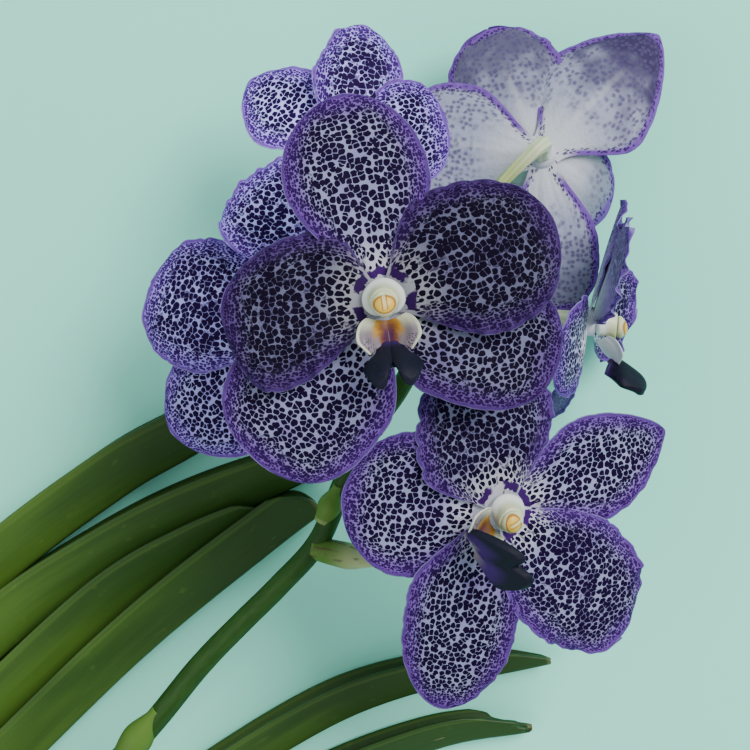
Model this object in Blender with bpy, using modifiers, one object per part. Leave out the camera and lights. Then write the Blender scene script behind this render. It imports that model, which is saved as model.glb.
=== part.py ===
"""A vanda orchid in flower, lifted bare from where it grew and laid on its side.

The stem and its two ranks of leaves lie along the surface, the flower stalk rises a little from it, and
six blooms stand round the end of the stalk. Metres, +Z up, the surface is the plane z = 0."""
import math

import bmesh
import bpy
import numpy as np
from mathutils import Matrix, Vector

NAME = "vanda_orchid"
GAP = 0.0003
WELD = 0.00001

# Driving dimensions
MIDDLE = (0.1348, 0.1375, 0.0)
TEPAL_THICK = 0.0009
LIP_THICK = 0.0018
LOBE_THICK = 0.0010
LEAF_THICK = 0.0018
LEAF_FOLD = 27
LEAF_ROWS = 10
STALK_RADIUS = 0.0035
STALK_END_RADIUS = 0.0027
STEM_RADIUS = 0.0062
SHEATH_RADIUS = 0.0072
SHEATH_REACH = 0.020
ROOT_RADIUS = 0.0032
BOSS_RADIUS = 0.0050
BOSS_TOP = 0.0020
BOSS_BACK = -0.0030
COLUMN_PROFILE = ((0.0050, 0.0), (0.0061, 0.0012), (0.0046, 0.0036), (0.0037, 0.0070))
CAP_RADIUS = 0.0036
CAP_HEIGHT = 0.0030
# The lip: the foot of its line below the column (up, forward), how far it comes forward, and the share of the
# line that its pale trough takes.
LIP_FOOT = (-0.0061, 0.0036)
LIP_RISE = 0.0225
TROUGH = 0.36
PEDICEL_START = 0.0015
PEDICEL_END = 0.0026

# Each tepal is a row of numbers: turn from the dorsal sepal (degrees, anticlockwise seen from the front),
# length, half width on the anticlockwise side and on the other, the share of the length at which each side
# is widest, bend sideways, roll about its midline (degrees), forward slope, droop of the outer half, cup of
# the edges, depth of the waves and how blunt the tip is.
TEPAL_KEYS = "turn length left right full_left full_right bend roll slope droop cup wave blunt".split()
# The outline of each kind: its width at the base as a share of the widest, how slowly it widens, and the
# height of its base on the boss.
SEPAL = dict(claw=0.27, swell=0.95, base=-0.0006)
SIDE_SEPAL = dict(claw=0.25, swell=0.85, base=-0.0006)
PETAL = dict(claw=0.20, swell=0.72, base=0.0010)
KINDS = (SEPAL, PETAL, PETAL, SIDE_SEPAL, SIDE_SEPAL)

# Each bloom: its centre, how far its face leans off straight up and towards which compass direction, which
# way its dorsal sepal points (degrees), how far its lip hangs and swings (right, up), the point of the stalk that it grows from,
# the bract that it grows out of, and its tepals: dorsal sepal, two petals, two side sepals.
BLOOMS = {
    "front": dict(
        centre=(0.0026, 0.0221, 0.1150), lean=3, toward=265, dorsal=98, hang=0.0120, swing=(0.0, 0.0),
        joint=(0.0180, 0.0136, 0.0520), bract=(-0.0035, 0.0020, 0.0060), bract_radius=0.0024, grain=(9, 7),
        tepals=(
            (3, 0.0620, 0.0225, 0.0210, 0.62, 0.58, 0.001, 0, 0.02, 0.08, 0.00, 0.000, 2.1),
            (87, 0.0478, 0.0245, 0.0225, 0.74, 0.32, 0.000, 8, 0.10, 0.05, -0.06, 0.030, 2.1),
            (-73, 0.0545, 0.0235, 0.0240, 0.42, 0.58, 0.000, -6, 0.12, 0.06, -0.06, 0.020, 2.3),
            (137, 0.0615, 0.0225, 0.0260, 0.50, 0.60, 0.000, 0, 0.02, 0.07, 0.05, 0.012, 2.8),
            (-121, 0.0555, 0.0220, 0.0205, 0.58, 0.38, 0.000, 0, 0.02, 0.07, 0.05, 0.012, 2.6),
        ),
    ),
    "low_right": dict(
        centre=(0.0400, -0.0425, 0.0850), lean=24, toward=323, dorsal=22, hang=0.0200, swing=(0.40, 1.00),
        joint=(-0.0215, -0.0590, 0.0500), bract=(0.0205, -0.0045, 0.0020), bract_radius=0.0048, grain=(9, 7),
        tepals=(
            (-3, 0.0625, 0.0190, 0.0190, 0.52, 0.58, -0.001, 0, 0.02, 0.06, 0.10, 0.010, 1.5),
            (81, 0.0500, 0.0235, 0.0240, 0.42, 0.60, 0.000, 0, 0.00, 0.16, 0.00, 0.020, 2.4),
            (-70, 0.0662, 0.0235, 0.0205, 0.56, 0.52, 0.000, 0, 0.06, 0.04, -0.06, 0.040, 2.4),
            (150, 0.0505, 0.0240, 0.0240, 0.58, 0.58, 0.000, 0, -0.02, 0.16, 0.04, 0.012, 2.2),
            (-132, 0.0700, 0.0190, 0.0230, 0.58, 0.46, 0.006, 0, 0.02, 0.05, 0.05, 0.010, 2.1),
        ),
    ),
    "top": dict(
        centre=(-0.0098, 0.0743, 0.0700), lean=20, toward=120, dorsal=147, hang=0.0120, swing=(0.0, 0.0),
        joint=(0.0262, 0.0306, 0.0520), bract=(-0.0040, 0.0042, 0.0010), bract_radius=0.0022, grain=(8, 6),
        tepals=(
            (-9, 0.0465, 0.0170, 0.0150, 0.56, 0.60, 0.000, 0, 0.00, 0.10, 0.06, 0.010, 1.6),
            (-66, 0.0440, 0.0145, 0.0165, 0.54, 0.54, 0.000, 20, 0.10, 0.06, -0.10, 0.050, 1.9),
            (74, 0.0500, 0.0195, 0.0135, 0.54, 0.54, 0.000, 0, 0.14, 0.06, -0.06, 0.030, 2.4),
            (-136, 0.0345, 0.0200, 0.0200, 0.58, 0.58, 0.000, 0, 0.02, 0.06, 0.04, 0.012, 2.6),
            (136, 0.0400, 0.0180, 0.0180, 0.58, 0.58, 0.000, 0, -0.04, 0.14, 0.04, 0.012, 2.6),
        ),
    ),
    "left": dict(
        centre=(-0.0301, 0.0131, 0.0680), lean=14, toward=150, dorsal=90, hang=0.0120, swing=(0.0, 0.0),
        joint=(-0.0075, -0.0290, 0.0520), bract=(-0.0045, 0.0030, 0.0010), bract_radius=0.0022, grain=(8, 6),
        tepals=(
            (-3, 0.0470, 0.0165, 0.0185, 0.60, 0.60, 0.000, 0, 0.00, 0.20, 0.04, 0.012, 2.2),
            (70, 0.0500, 0.0225, 0.0230, 0.54, 0.54, 0.000, 0, 0.06, 0.06, -0.04, 0.020, 2.8),
            (-72, 0.0340, 0.0150, 0.0150, 0.54, 0.54, 0.000, 0, 0.00, 0.20, 0.00, 0.020, 2.2),
            (129, 0.0510, 0.0250, 0.0180, 0.54, 0.58, 0.000, 0, 0.00, 0.10, 0.04, 0.012, 1.9),
            (-140, 0.0420, 0.0180, 0.0180, 0.58, 0.58, 0.000, 0, 0.00, 0.20, 0.04, 0.012, 2.2),
        ),
    ),
    "back": dict(
        centre=(0.0586, 0.0771, 0.0380), lean=170, toward=330, dorsal=46, hang=0.0120, swing=(0.0, 0.0),
        joint=(0.0350, 0.0510, 0.0520), bract=(0.0040, 0.0070, 0.0005), bract_radius=0.0026, grain=(8, 6),
        tepals=(
            (0, 0.0590, 0.0220, 0.0240, 0.44, 0.44, 0.000, 0, 0.05, -0.02, 0.20, 0.010, 1.5),
            (-66, 0.0515, 0.0200, 0.0235, 0.54, 0.54, 0.000, 0, 0.10, 0.04, 0.02, 0.040, 2.3),
            (82, 0.0275, 0.0140, 0.0150, 0.54, 0.54, 0.000, 0, 0.20, -0.90, 0.02, 0.020, 2.3),
            (-124, 0.0520, 0.0220, 0.0220, 0.58, 0.58, 0.000, 0, 0.02, 0.06, 0.05, 0.012, 2.6),
            (131, 0.0560, 0.0180, 0.0165, 0.58, 0.58, 0.000, 0, 0.08, 0.06, 0.05, 0.012, 2.6),
        ),
    ),
    "side": dict(
        centre=(0.0740, 0.0185, 0.0460), lean=82, toward=355, dorsal=90, hang=0.0100, swing=(0.0, 0.0),
        joint=(0.0220, 0.0215, 0.0520), bract=(0.0050, -0.0020, 0.0000), bract_radius=0.0022, grain=(8, 6),
        tepals=(
            (-4, 0.0430, 0.0150, 0.0150, 0.60, 0.60, 0.000, 0, 0.20, 0.00, 0.12, 0.030, 1.8),
            (46, 0.0430, 0.0190, 0.0190, 0.54, 0.54, 0.000, 0, 0.20, 0.00, 0.06, 0.020, 1.9),
            (-78, 0.0380, 0.0180, 0.0180, 0.54, 0.54, 0.000, 0, 0.22, -0.20, 0.02, 0.040, 2.3),
            (118, 0.0340, 0.0180, 0.0180, 0.58, 0.58, 0.000, 0, -0.10, 0.20, 0.04, 0.012, 2.4),
            (-152, 0.0370, 0.0170, 0.0170, 0.58, 0.58, 0.000, 0, -0.10, 0.20, 0.04, 0.012, 2.4),
        ),
    ),
}

# Each leaf: its width when opened out, how far it is rolled over (degrees), and its keel from the sheath
# to the tip.
LEAVES = {
    "leaf_r1": (0.044, 4, (
        (-0.196, -0.137, 0.0115), (-0.137, -0.079, 0.0105), (-0.094, -0.046, 0.0105),
        (-0.067, -0.030, 0.0102), (-0.027, -0.007, 0.0100))),
    "leaf_r2": (0.044, 4, (
        (-0.199, -0.168, 0.0115), (-0.137, -0.104, 0.0105), (-0.094, -0.074, 0.0105),
        (-0.049, -0.051, 0.0102), (-0.014, -0.034, 0.0100))),
    "leaf_r3": (0.040, 4, (
        (-0.202, -0.196, 0.0115), (-0.137, -0.130, 0.0100), (-0.094, -0.090, 0.0100),
        (-0.064, -0.070, 0.0102), (-0.036, -0.0535, 0.0112))),
    "leaf_r4": (0.042, 4, (
        (-0.204, -0.222, 0.0115), (-0.119, -0.137, 0.0105), (-0.079, -0.099, 0.0105),
        (-0.036, -0.064, 0.0102), (-0.019, -0.051, 0.0100))),
    "leaf_r5": (0.035, 4, (
        (-0.209, -0.266, 0.0115), (-0.150, -0.222, 0.0100), (-0.090, -0.178, 0.0092),
        (-0.031, -0.139, 0.0085), (0.009, -0.1205, 0.0080), (0.066, -0.1075, 0.0062))),
    "leaf_r6": (0.032, 4, (
        (-0.214, -0.292, 0.0115), (-0.150, -0.252, 0.0095), (-0.095, -0.214, 0.0086),
        (-0.038, -0.168, 0.0080), (0.020, -0.1405, 0.0076), (0.059, -0.1330, 0.0062))),
    "leaf_l1": (0.036, 4, (
        (-0.2190, -0.120, 0.0115), (-0.240, -0.080, 0.0098), (-0.274, -0.046, 0.0090), (-0.312, -0.034, 0.0078))),
    "leaf_l2": (0.042, 4, (
        (-0.2235, -0.151, 0.0115), (-0.256, -0.108, 0.0105), (-0.300, -0.078, 0.0102), (-0.350, -0.068, 0.0086))),
    "leaf_l3": (0.042, 27, (
        (-0.2275, -0.182, 0.0110), (-0.266, -0.144, 0.0040), (-0.300, -0.126, 0.0009), (-0.366, -0.112, 0.0009))),
    "leaf_l4": (0.042, 4, (
        (-0.2320, -0.212, 0.0115), (-0.272, -0.178, 0.0105), (-0.320, -0.158, 0.0102), (-0.370, -0.158, 0.0086))),
    "leaf_l5": (0.040, 4, (
        (-0.2365, -0.244, 0.0115), (-0.274, -0.216, 0.0105), (-0.314, -0.202, 0.0102), (-0.356, -0.208, 0.0084))),
}
STEM_FOOT = Vector((-0.232, -0.318, 0.0064))
STEM_TIP = Vector((-0.205, -0.120, 0.0105))
STALK = (
    (-0.2132, -0.2520, 0.0085), (-0.172, -0.208, 0.0180), (-0.130, -0.172, 0.0270), (-0.0872, -0.1325, 0.0350),
    (-0.0611, -0.1013, 0.0420), (-0.0467, -0.0861, 0.0450), (-0.0326, -0.0719, 0.0480),
    (-0.0191, -0.0564, 0.0500), (-0.0102, -0.0351, 0.0520), (-0.0010, -0.0180, 0.0520),
    (0.0085, -0.0044, 0.0520), (0.0180, 0.0136, 0.0520), (0.0262, 0.0306, 0.0520), (0.0323, 0.0460, 0.0520),
    (0.0355, 0.0530, 0.0520),
)
# The sheathing bracts that clasp the stalk below its blooms: where each starts and ends, and its width.
STALK_BRACTS = (
    ((-0.0900, -0.1370, 0.0345), (-0.0760, -0.1170, 0.0400), 0.0056),
    ((-0.0175, -0.0500, 0.0510), (-0.0125, -0.0375, 0.0545), 0.0042),
)
ROOTS = {
    "root_1": ((-0.2380, -0.3120), (-0.2480, -0.3106), (-0.2640, -0.3200), (-0.2870, -0.3240), (-0.3120, -0.3400)),
    "root_2": ((-0.2358, -0.3179), (-0.2372, -0.3278), (-0.2310, -0.3520), (-0.2400, -0.3760), (-0.2320, -0.4000)),
    "root_3": ((-0.2286, -0.3189), (-0.2294, -0.3260), (-0.2180, -0.3390), (-0.1900, -0.3350), (-0.1560, -0.3440)),
}


def material(name, colour, roughness, metallic=0.0):
    """A plain material with the piece's colour and shine."""
    made = bpy.data.materials.new(name)
    made.use_nodes = True
    shader = made.node_tree.nodes["Principled BSDF"]
    shader.inputs["Base Color"].default_value = (*colour, 1)
    shader.inputs["Roughness"].default_value = roughness
    shader.inputs["Metallic"].default_value = metallic
    return made


def add_object(name, mesh, collection, finish=None):
    """Puts a mesh in the scene under a name, with its material."""
    made = bpy.data.objects.new(name, mesh)
    collection.objects.link(made)
    if finish:
        mesh.materials.clear()
        mesh.materials.append(finish)
    return made


def sheet(name, points, thick, collection):
    """A thin blade: a grid bent to a field of points, cut into triangles and given a thickness."""
    rows, columns = points.shape[:2]
    shape = bmesh.new()
    bmesh.ops.create_grid(shape, x_segments=columns - 1, y_segments=rows - 1, size=1)
    shape.verts.ensure_lookup_table()
    for vertex in shape.verts:
        column = round((vertex.co.x + 1) / 2 * (columns - 1))
        row = round((vertex.co.y + 1) / 2 * (rows - 1))
        vertex.co = points[row, column]
    bmesh.ops.triangulate(shape, faces=shape.faces)
    mesh = bpy.data.meshes.new(name)
    shape.to_mesh(mesh)
    shape.free()
    made = add_object(name, mesh, collection)
    wall = made.modifiers.new("Wall", "SOLIDIFY")
    wall.thickness = thick
    wall.offset = 0
    return made


def tidied(mesh):
    """Welds the near doubles of a union, and drops the flat pairs of faces that it leaves back to back."""
    shape = bmesh.new()
    shape.from_mesh(mesh)
    bmesh.ops.triangulate(shape, faces=shape.faces)
    bmesh.ops.remove_doubles(shape, verts=shape.verts, dist=WELD)
    bmesh.ops.dissolve_degenerate(shape, edges=shape.edges, dist=WELD)
    bmesh.ops.triangulate(shape, faces=shape.faces)
    twins = {}
    for face in shape.faces:
        twins.setdefault(frozenset(vertex.index for vertex in face.verts), []).append(face)
    flat = [face for pair in twins.values() if len(pair) > 1 for face in pair]
    bmesh.ops.delete(shape, geom=flat, context="FACES")
    shape.to_mesh(mesh)
    shape.free()


def settled_mesh(made):
    """The object's mesh with its modifiers applied, in the world's axes."""
    bpy.context.view_layer.update()
    seen = made.evaluated_get(bpy.context.evaluated_depsgraph_get())
    mesh = bpy.data.meshes.new_from_object(seen)
    mesh.transform(made.matrix_world)
    return mesh


def discard(made):
    """Removes an object that was only a step on the way."""
    bpy.data.objects.remove(made, do_unlink=True)


def fuse(name, pieces, collection, finish, solver="EXACT"):
    """Joins pieces into one solid with a single union."""
    bunch = bpy.data.collections.new(name + "_pieces")
    bpy.context.scene.collection.children.link(bunch)
    for piece in pieces[1:]:
        for home in list(piece.users_collection):
            home.objects.unlink(piece)
        bunch.objects.link(piece)
    union = pieces[0].modifiers.new("Union", "BOOLEAN")
    union.operation = "UNION"
    union.operand_type = "COLLECTION"
    union.collection = bunch
    union.solver = solver
    mesh = settled_mesh(pieces[0])
    tidied(mesh)
    for piece in pieces:
        discard(piece)
    bpy.data.collections.remove(bunch)
    return add_object(name, mesh, collection, finish)


def smooth_path(points, count):
    """A smooth curve through the points, as count places evenly spaced along it."""
    knots = np.array(points, float)
    padded = np.vstack([2 * knots[0] - knots[1], knots, 2 * knots[-1] - knots[-2]])
    fine = []
    for step in range(len(knots) - 1):
        before, start, end, after = padded[step : step + 4]
        for part in np.linspace(0, 1, 24, endpoint=False):
            pull = (end - before) * part + (2 * before - 5 * start + 4 * end - after) * part**2
            fine.append(start + 0.5 * (pull + (3 * start - before - 3 * end + after) * part**3))
    fine = np.vstack([fine, knots[-1]])
    along = np.concatenate([[0], np.cumsum(np.linalg.norm(np.diff(fine, axis=0), axis=1))])
    stops = np.linspace(0, along[-1], count)
    return np.column_stack([np.interp(stops, along, fine[:, axis]) for axis in range(3)])


def tube(name, points, radii, collection):
    """A round bar along a path, with a radius for each of its points, as a closed mesh."""
    curve = bpy.data.curves.new(name, "CURVE")
    curve.dimensions = "3D"
    curve.twist_mode = "Z_UP"
    curve.bevel_depth = 1
    curve.bevel_resolution = 2
    curve.use_fill_caps = True
    line = curve.splines.new("POLY")
    line.points.add(len(points) - 1)
    for point, place, radius in zip(line.points, points, radii):
        point.co = (*place, 1)
        point.radius = radius
    made = add_object(name, curve, collection)
    mesh = settled_mesh(made)
    discard(made)
    shape = bmesh.new()
    shape.from_mesh(mesh)
    bmesh.ops.remove_doubles(shape, verts=shape.verts, dist=0.00001)
    bmesh.ops.triangulate(shape, faces=shape.faces)
    shape.to_mesh(mesh)
    shape.free()
    return add_object(name, mesh, collection)


def outline(part, kind, full, blunt):
    """Half the width of a tepal, as a share of its widest, at each part of its length from 0 to 1."""
    rising = np.clip(part / full, 0, 1)
    falling = np.clip((part - full) / (1 - full), 0, 1)
    opening = kind["claw"] + (1 - kind["claw"]) * np.sin(math.pi / 2 * rising ** kind["swell"]) ** 2
    closing = (1 - falling**blunt) ** (1 / blunt)
    return opening * closing


def tepal_points(kind, tepal, rows, columns):
    """The middle surface of a tepal in its bloom's axes: x to the right, y to the dorsal sepal, z forward.

    It runs from the boss along its turn, bends sideways with the square of the distance, slopes forward,
    then droops back in its outer part. Its edges are cupped by the square of the distance from the
    midline, and waved by a sine that grows with its cube."""
    value = dict(zip(TEPAL_KEYS, tepal))
    full = (value["full_left"] + value["full_right"]) / 2
    lower = np.linspace(0, full, rows - rows // 2, endpoint=False)
    upper = full + (0.995 - full) * np.sin(np.linspace(0, math.pi / 2, rows // 2))
    part = np.concatenate([lower, upper])[:, None]
    across = np.linspace(-1, 1, columns)[None, :]
    left = value["left"] * outline(part, kind, value["full_left"], value["blunt"])
    right = value["right"] * outline(part, kind, value["full_right"], value["blunt"])
    half = np.where(across > 0, left, np.where(across < 0, right, (left + right) / 2))
    side = half * across
    reach = value["length"]
    along = 0.0015 + (reach - 0.0015) * part - 0.10 * half * across**2 * part
    waves = np.sin(part * 17 + across * 2.2 + value["turn"])
    wave = value["wave"] * reach * np.abs(across) ** 3 * waves * part
    roll = np.radians(value["roll"]) * np.clip(part * 2.2, 0, 1)
    lift = value["cup"] * half * across**2 + wave
    rise = side * np.sin(roll) + lift * np.cos(roll)
    side = side * np.cos(roll) + value["bend"] * part**2
    crease = -0.0006 * np.exp(-((across / 0.16) ** 2)) * np.sin(math.pi * part)
    height = kind["base"] + reach * (value["slope"] * part - value["droop"] * part**3)
    forward = height + (rise + crease) * np.clip(part * 5, 0, 1)
    angle = math.radians(value["turn"] + 90)
    x = along * math.cos(angle) - side * math.sin(angle)
    y = along * math.sin(angle) + side * math.cos(angle)
    return np.stack([x, y, np.broadcast_to(forward, x.shape)], axis=-1)


def bloom_axes(bloom):
    """The bloom's right, dorsal and forward directions."""
    lean, toward = math.radians(bloom["lean"]), math.radians(bloom["toward"])
    forward = np.array([math.sin(lean) * math.cos(toward), math.sin(lean) * math.sin(toward), math.cos(lean)])
    dorsal = math.radians(bloom["dorsal"])
    up = np.array([math.cos(dorsal), math.sin(dorsal), 0])
    up = up - forward * (up @ forward)
    up = up / np.linalg.norm(up)
    return np.array([np.cross(up, forward), up, forward])


def placed(points, bloom):
    """Points of a bloom's own axes, in the world."""
    return np.asarray(points) @ bloom_axes(bloom) + np.array(bloom["centre"])


def turned(name, profile, sides, bloom, collection, origin=(0, 0, 0), squash=1.0):
    """A solid turned about the bloom's forward axis from a profile of radii and heights, closed at both ends."""
    shape = bmesh.new()
    rings = []
    for radius, height in profile:
        turns = np.arange(sides) * 2 * math.pi / sides
        ring = np.column_stack([radius * np.cos(turns), radius * squash * np.sin(turns), np.full(sides, height)])
        rings.append([shape.verts.new(place) for place in placed(ring + np.array(origin), bloom)])
    for low, high in zip(rings, rings[1:]):
        for side in range(sides):
            after = (side + 1) % sides
            shape.faces.new((low[side], low[after], high[after], high[side]))
    shape.faces.new(rings[0][::-1])
    shape.faces.new(rings[-1])
    bmesh.ops.triangulate(shape, faces=shape.faces)
    mesh = bpy.data.meshes.new(name)
    shape.to_mesh(mesh)
    shape.free()
    return add_object(name, mesh, collection)


def perianth(name, bloom, collection, finish):
    """The five tepals of a bloom, grown together at its boss."""
    profile = ((BOSS_RADIUS * 0.7, BOSS_BACK), (BOSS_RADIUS, -0.0010), (BOSS_RADIUS, BOSS_TOP))
    pieces = [turned(name + "_boss", profile, 8, bloom, collection)]
    for number, (kind, tepal) in enumerate(zip(KINDS, bloom["tepals"])):
        points = placed(tepal_points(kind, tepal, *bloom["grain"]), bloom)
        pieces.append(sheet(f"{name}_{number}", points, TEPAL_THICK, collection))
    return fuse(name, pieces, collection, finish, "MANIFOLD")


def lip_line(bloom, part):
    """Places along the middle of the lip: it drops at first, then comes forward, swung to one side."""
    rise = LIP_RISE * (0.25 * part + 0.75 * part**2)
    y = LIP_FOOT[0] - bloom["hang"] * (1 - (1 - part) ** 1.8)
    return bloom["swing"][0] * rise, y + bloom["swing"][1] * rise, LIP_FOOT[1] + rise


def lip_start(bloom):
    """The part of the lip's line where the midlobe starts, clear of the trough's end however they bend."""
    places = np.array([lip_line(bloom, part) for part in (0.6 * TROUGH, TROUGH, 1.2 * TROUGH)])
    behind, ahead = places[1] - places[0], places[2] - places[1]
    behind, speed = behind / np.linalg.norm(behind), np.linalg.norm(ahead) / (0.2 * TROUGH)
    bend = np.linalg.norm(np.cross(behind, ahead / np.linalg.norm(ahead)))
    return TROUGH + (1.2 * GAP + 0.8 * LIP_THICK * bend) / speed


def lobes(name, bloom, collection, finish):
    """The pale trough of the lip: a curved floor whose two sides stand up as rounded lobes."""
    part = np.linspace(0, TROUGH, 3)[:, None]
    across = np.linspace(-1, 1, 7)[None, :]
    middle, y, z = lip_line(bloom, part)
    ear = 0.55 + 0.45 * np.sin(math.pi * (part / TROUGH * 0.8 + 0.1))
    x = 0.0072 * np.sin(across * 1.45) * (0.8 + 0.2 * ear)
    rise = 0.0068 * (1 - np.cos(across * 1.45)) * ear
    points = np.stack([x + middle, y + 0.25 * rise, z + 0.85 * rise], axis=-1)
    made = sheet(name, placed(points, bloom), LOBE_THICK, collection)
    return fuse(name, [made], collection, finish)


def lip(name, bloom, collection, finish):
    """The midlobe: a thick tongue that widens to two rounded lobes with a notch between them."""
    part = np.linspace(0, 1, 6)[:, None]
    across = np.linspace(-1, 1, 5)[None, :]
    start = lip_start(bloom)
    middle, y, z = lip_line(bloom, start + (1 - start) * part)
    half = 0.0036 + 0.0042 * part**1.2
    tip = np.clip((part - 0.75) * 4, 0, 1)
    notch = 0.0024 * tip * (np.exp(-((across / 0.3) ** 2)) + 1.2 * across**4)
    side = across**2
    points = np.stack([middle + half * across, y - 0.0018 * side, z - notch - 0.0012 * side], axis=-1)
    made = sheet(name, placed(points, bloom), LIP_THICK, collection)
    return fuse(name, [made], collection, finish)


def column(name, bloom, collection, finish):
    """The stout white column that stands forward from the boss."""
    base = BOSS_TOP + GAP
    profile = [(radius, base + height) for radius, height in COLUMN_PROFILE]
    made = turned(name, profile, 8, bloom, collection, origin=(0, 0.0004, 0))
    return fuse(name, [made], collection, finish)


def cap(name, bloom, collection, finish):
    """The yellow anther cap, a small dome on the column."""
    base = BOSS_TOP + GAP + COLUMN_PROFILE[-1][1] + GAP
    angles = np.linspace(0, 1.25, 3)
    dome = [(CAP_RADIUS * math.cos(angle), base + 0.0005 + CAP_HEIGHT * math.sin(angle)) for angle in angles]
    made = turned(name, [(CAP_RADIUS * 0.9, base)] + dome, 8, bloom, collection, origin=(0, 0.0002, 0))
    return fuse(name, [made], collection, finish)


def bract_tip(bloom):
    """Where the bract of a bloom ends and its pedicel starts, and the direction of the two."""
    reach = np.array(bloom["bract"])
    return np.array(bloom["joint"]) + reach * (1 + STALK_RADIUS / np.linalg.norm(reach)), reach / np.linalg.norm(reach)


def pedicel(name, bloom, collection, finish):
    """The stalk from a bract to the back of its bloom, thickest behind the bloom."""
    back = placed([(0, 0, BOSS_BACK - GAP)], bloom)[0]
    behind = placed([(0, 0, BOSS_BACK - 0.011)], bloom)[0]
    tip, outward = bract_tip(bloom)
    start = tip + outward * GAP
    route = smooth_path((start, start + outward * 0.005, behind, back), 9)
    route[-2] = back + (behind - back) * 0.35
    radii = PEDICEL_START + (PEDICEL_END - PEDICEL_START) * np.linspace(0, 1, len(route)) ** 1.5
    made = tube(name, route, radii, collection)
    return fuse(name, [made], collection, finish)


def leaf_points(keel, roll, width, rows):
    """The middle surface of a leaf: its keel, and two halves that open from it like a trough.

    The halves stand at the fold angle to either side of the plane of the ranks, and their width narrows to
    the sheath and rounds off at the tip. The roll turns the trough about the keel, from the sheath on."""
    line = smooth_path(keel, rows)
    line[:, 2] = np.maximum(line[:, 2], LEAF_THICK / 2)
    ahead = np.gradient(line, axis=0)
    ahead[:, 2] = 0
    ahead = ahead / np.linalg.norm(ahead, axis=1)[:, None]
    outward = np.cross(np.array([0, 0, 1.0]), ahead)
    if keel[-1][0] < keel[0][0]:
        outward = -outward
    part = np.linspace(0, 1, rows)[:, None]
    across = np.array([-1, -0.5, 0, 0.5, 1])[None, :]
    half = width / 2 * (0.40 + 0.60 * np.clip(part * 4, 0, 1)) * (1 - 0.5 * np.clip(part * 3 - 2, 0, 1) ** 2.5)
    reach = half * np.abs(across)
    opening = math.radians(LEAF_FOLD)
    side = reach * math.cos(opening)
    rise = -np.sign(across) * reach * math.sin(opening)
    angle = -np.radians(roll) * np.clip(part * 3, 0, 1)
    turned_side = side * np.cos(angle) + rise * np.sin(angle)
    turned_rise = -side * np.sin(angle) + rise * np.cos(angle)
    points = line[:, None, :] + outward[:, None, :] * turned_side[..., None]
    points[..., 2] += turned_rise
    return points


def leaf(name, width, roll, keel, collection, finish):
    """One strap leaf, folded along its keel."""
    made = sheet(name, leaf_points(keel, roll, width, LEAF_ROWS), LEAF_THICK, collection)
    return fuse(name, [made], collection, finish)


def stem(collection, finish):
    """The stem: a core along the plant, and a sheath for each leaf, leaning out to the leaf's foot."""
    line = smooth_path((STEM_FOOT, STEM_TIP), 3)
    pieces = [tube("stem_core", line, (STEM_RADIUS, STEM_RADIUS, STEM_RADIUS * 0.8), collection)]
    along = (STEM_TIP - STEM_FOOT).normalized()
    for name, (_, _, keel) in LEAVES.items():
        foot, onward = Vector(keel[0]), Vector(keel[1])
        mouth = foot - (onward - foot).normalized() * (GAP + LEAF_THICK / 2)
        low = STEM_FOOT + along * ((foot - STEM_FOOT).dot(along) - SHEATH_REACH)
        route = (low, (low + mouth) / 2 + along * 0.002, mouth)
        radii = (SHEATH_RADIUS * 0.85, SHEATH_RADIUS, SHEATH_RADIUS)
        pieces.append(tube("sheath_" + name, route, radii, collection))
    return fuse("stem", pieces, collection, finish)


def spike(collection, finish):
    """The flower stalk, with its sheathing bracts and the bract that each bloom grows out of."""
    line = smooth_path(STALK, 22)
    part = np.linspace(0, 1, len(line))
    radii = STALK_RADIUS + (STALK_END_RADIUS - STALK_RADIUS) * np.clip(part * 2 - 1, 0, 1)
    pieces = [tube("spike_bar", line, radii, collection)]
    for number, (start, end, radius) in enumerate(STALK_BRACTS):
        route = smooth_path((start, end), 3)
        pieces.append(tube(f"sheath_{number}", route, (radius * 0.8, radius, radius * 0.3), collection))
    for name, bloom in BLOOMS.items():
        joint, (tip, _) = np.array(bloom["joint"]), bract_tip(bloom)
        route = smooth_path((joint, tip), 3)
        wide = bloom["bract_radius"]
        radii = (wide * 0.8, wide * 0.9, PEDICEL_START)
        pieces.append(tube("bract_" + name, route, radii, collection))
    return fuse("spike", pieces, collection, finish)


def root(name, route, collection, finish):
    """One thick root lying on the surface."""
    line = smooth_path([(x, y, 0) for x, y in route], 9)
    radii = ROOT_RADIUS * (1 - 0.35 * np.linspace(0, 1, len(line)) ** 2)
    line[:, 2] = radii
    return fuse(name, [tube(name, line, radii, collection)], collection, finish)


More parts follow.
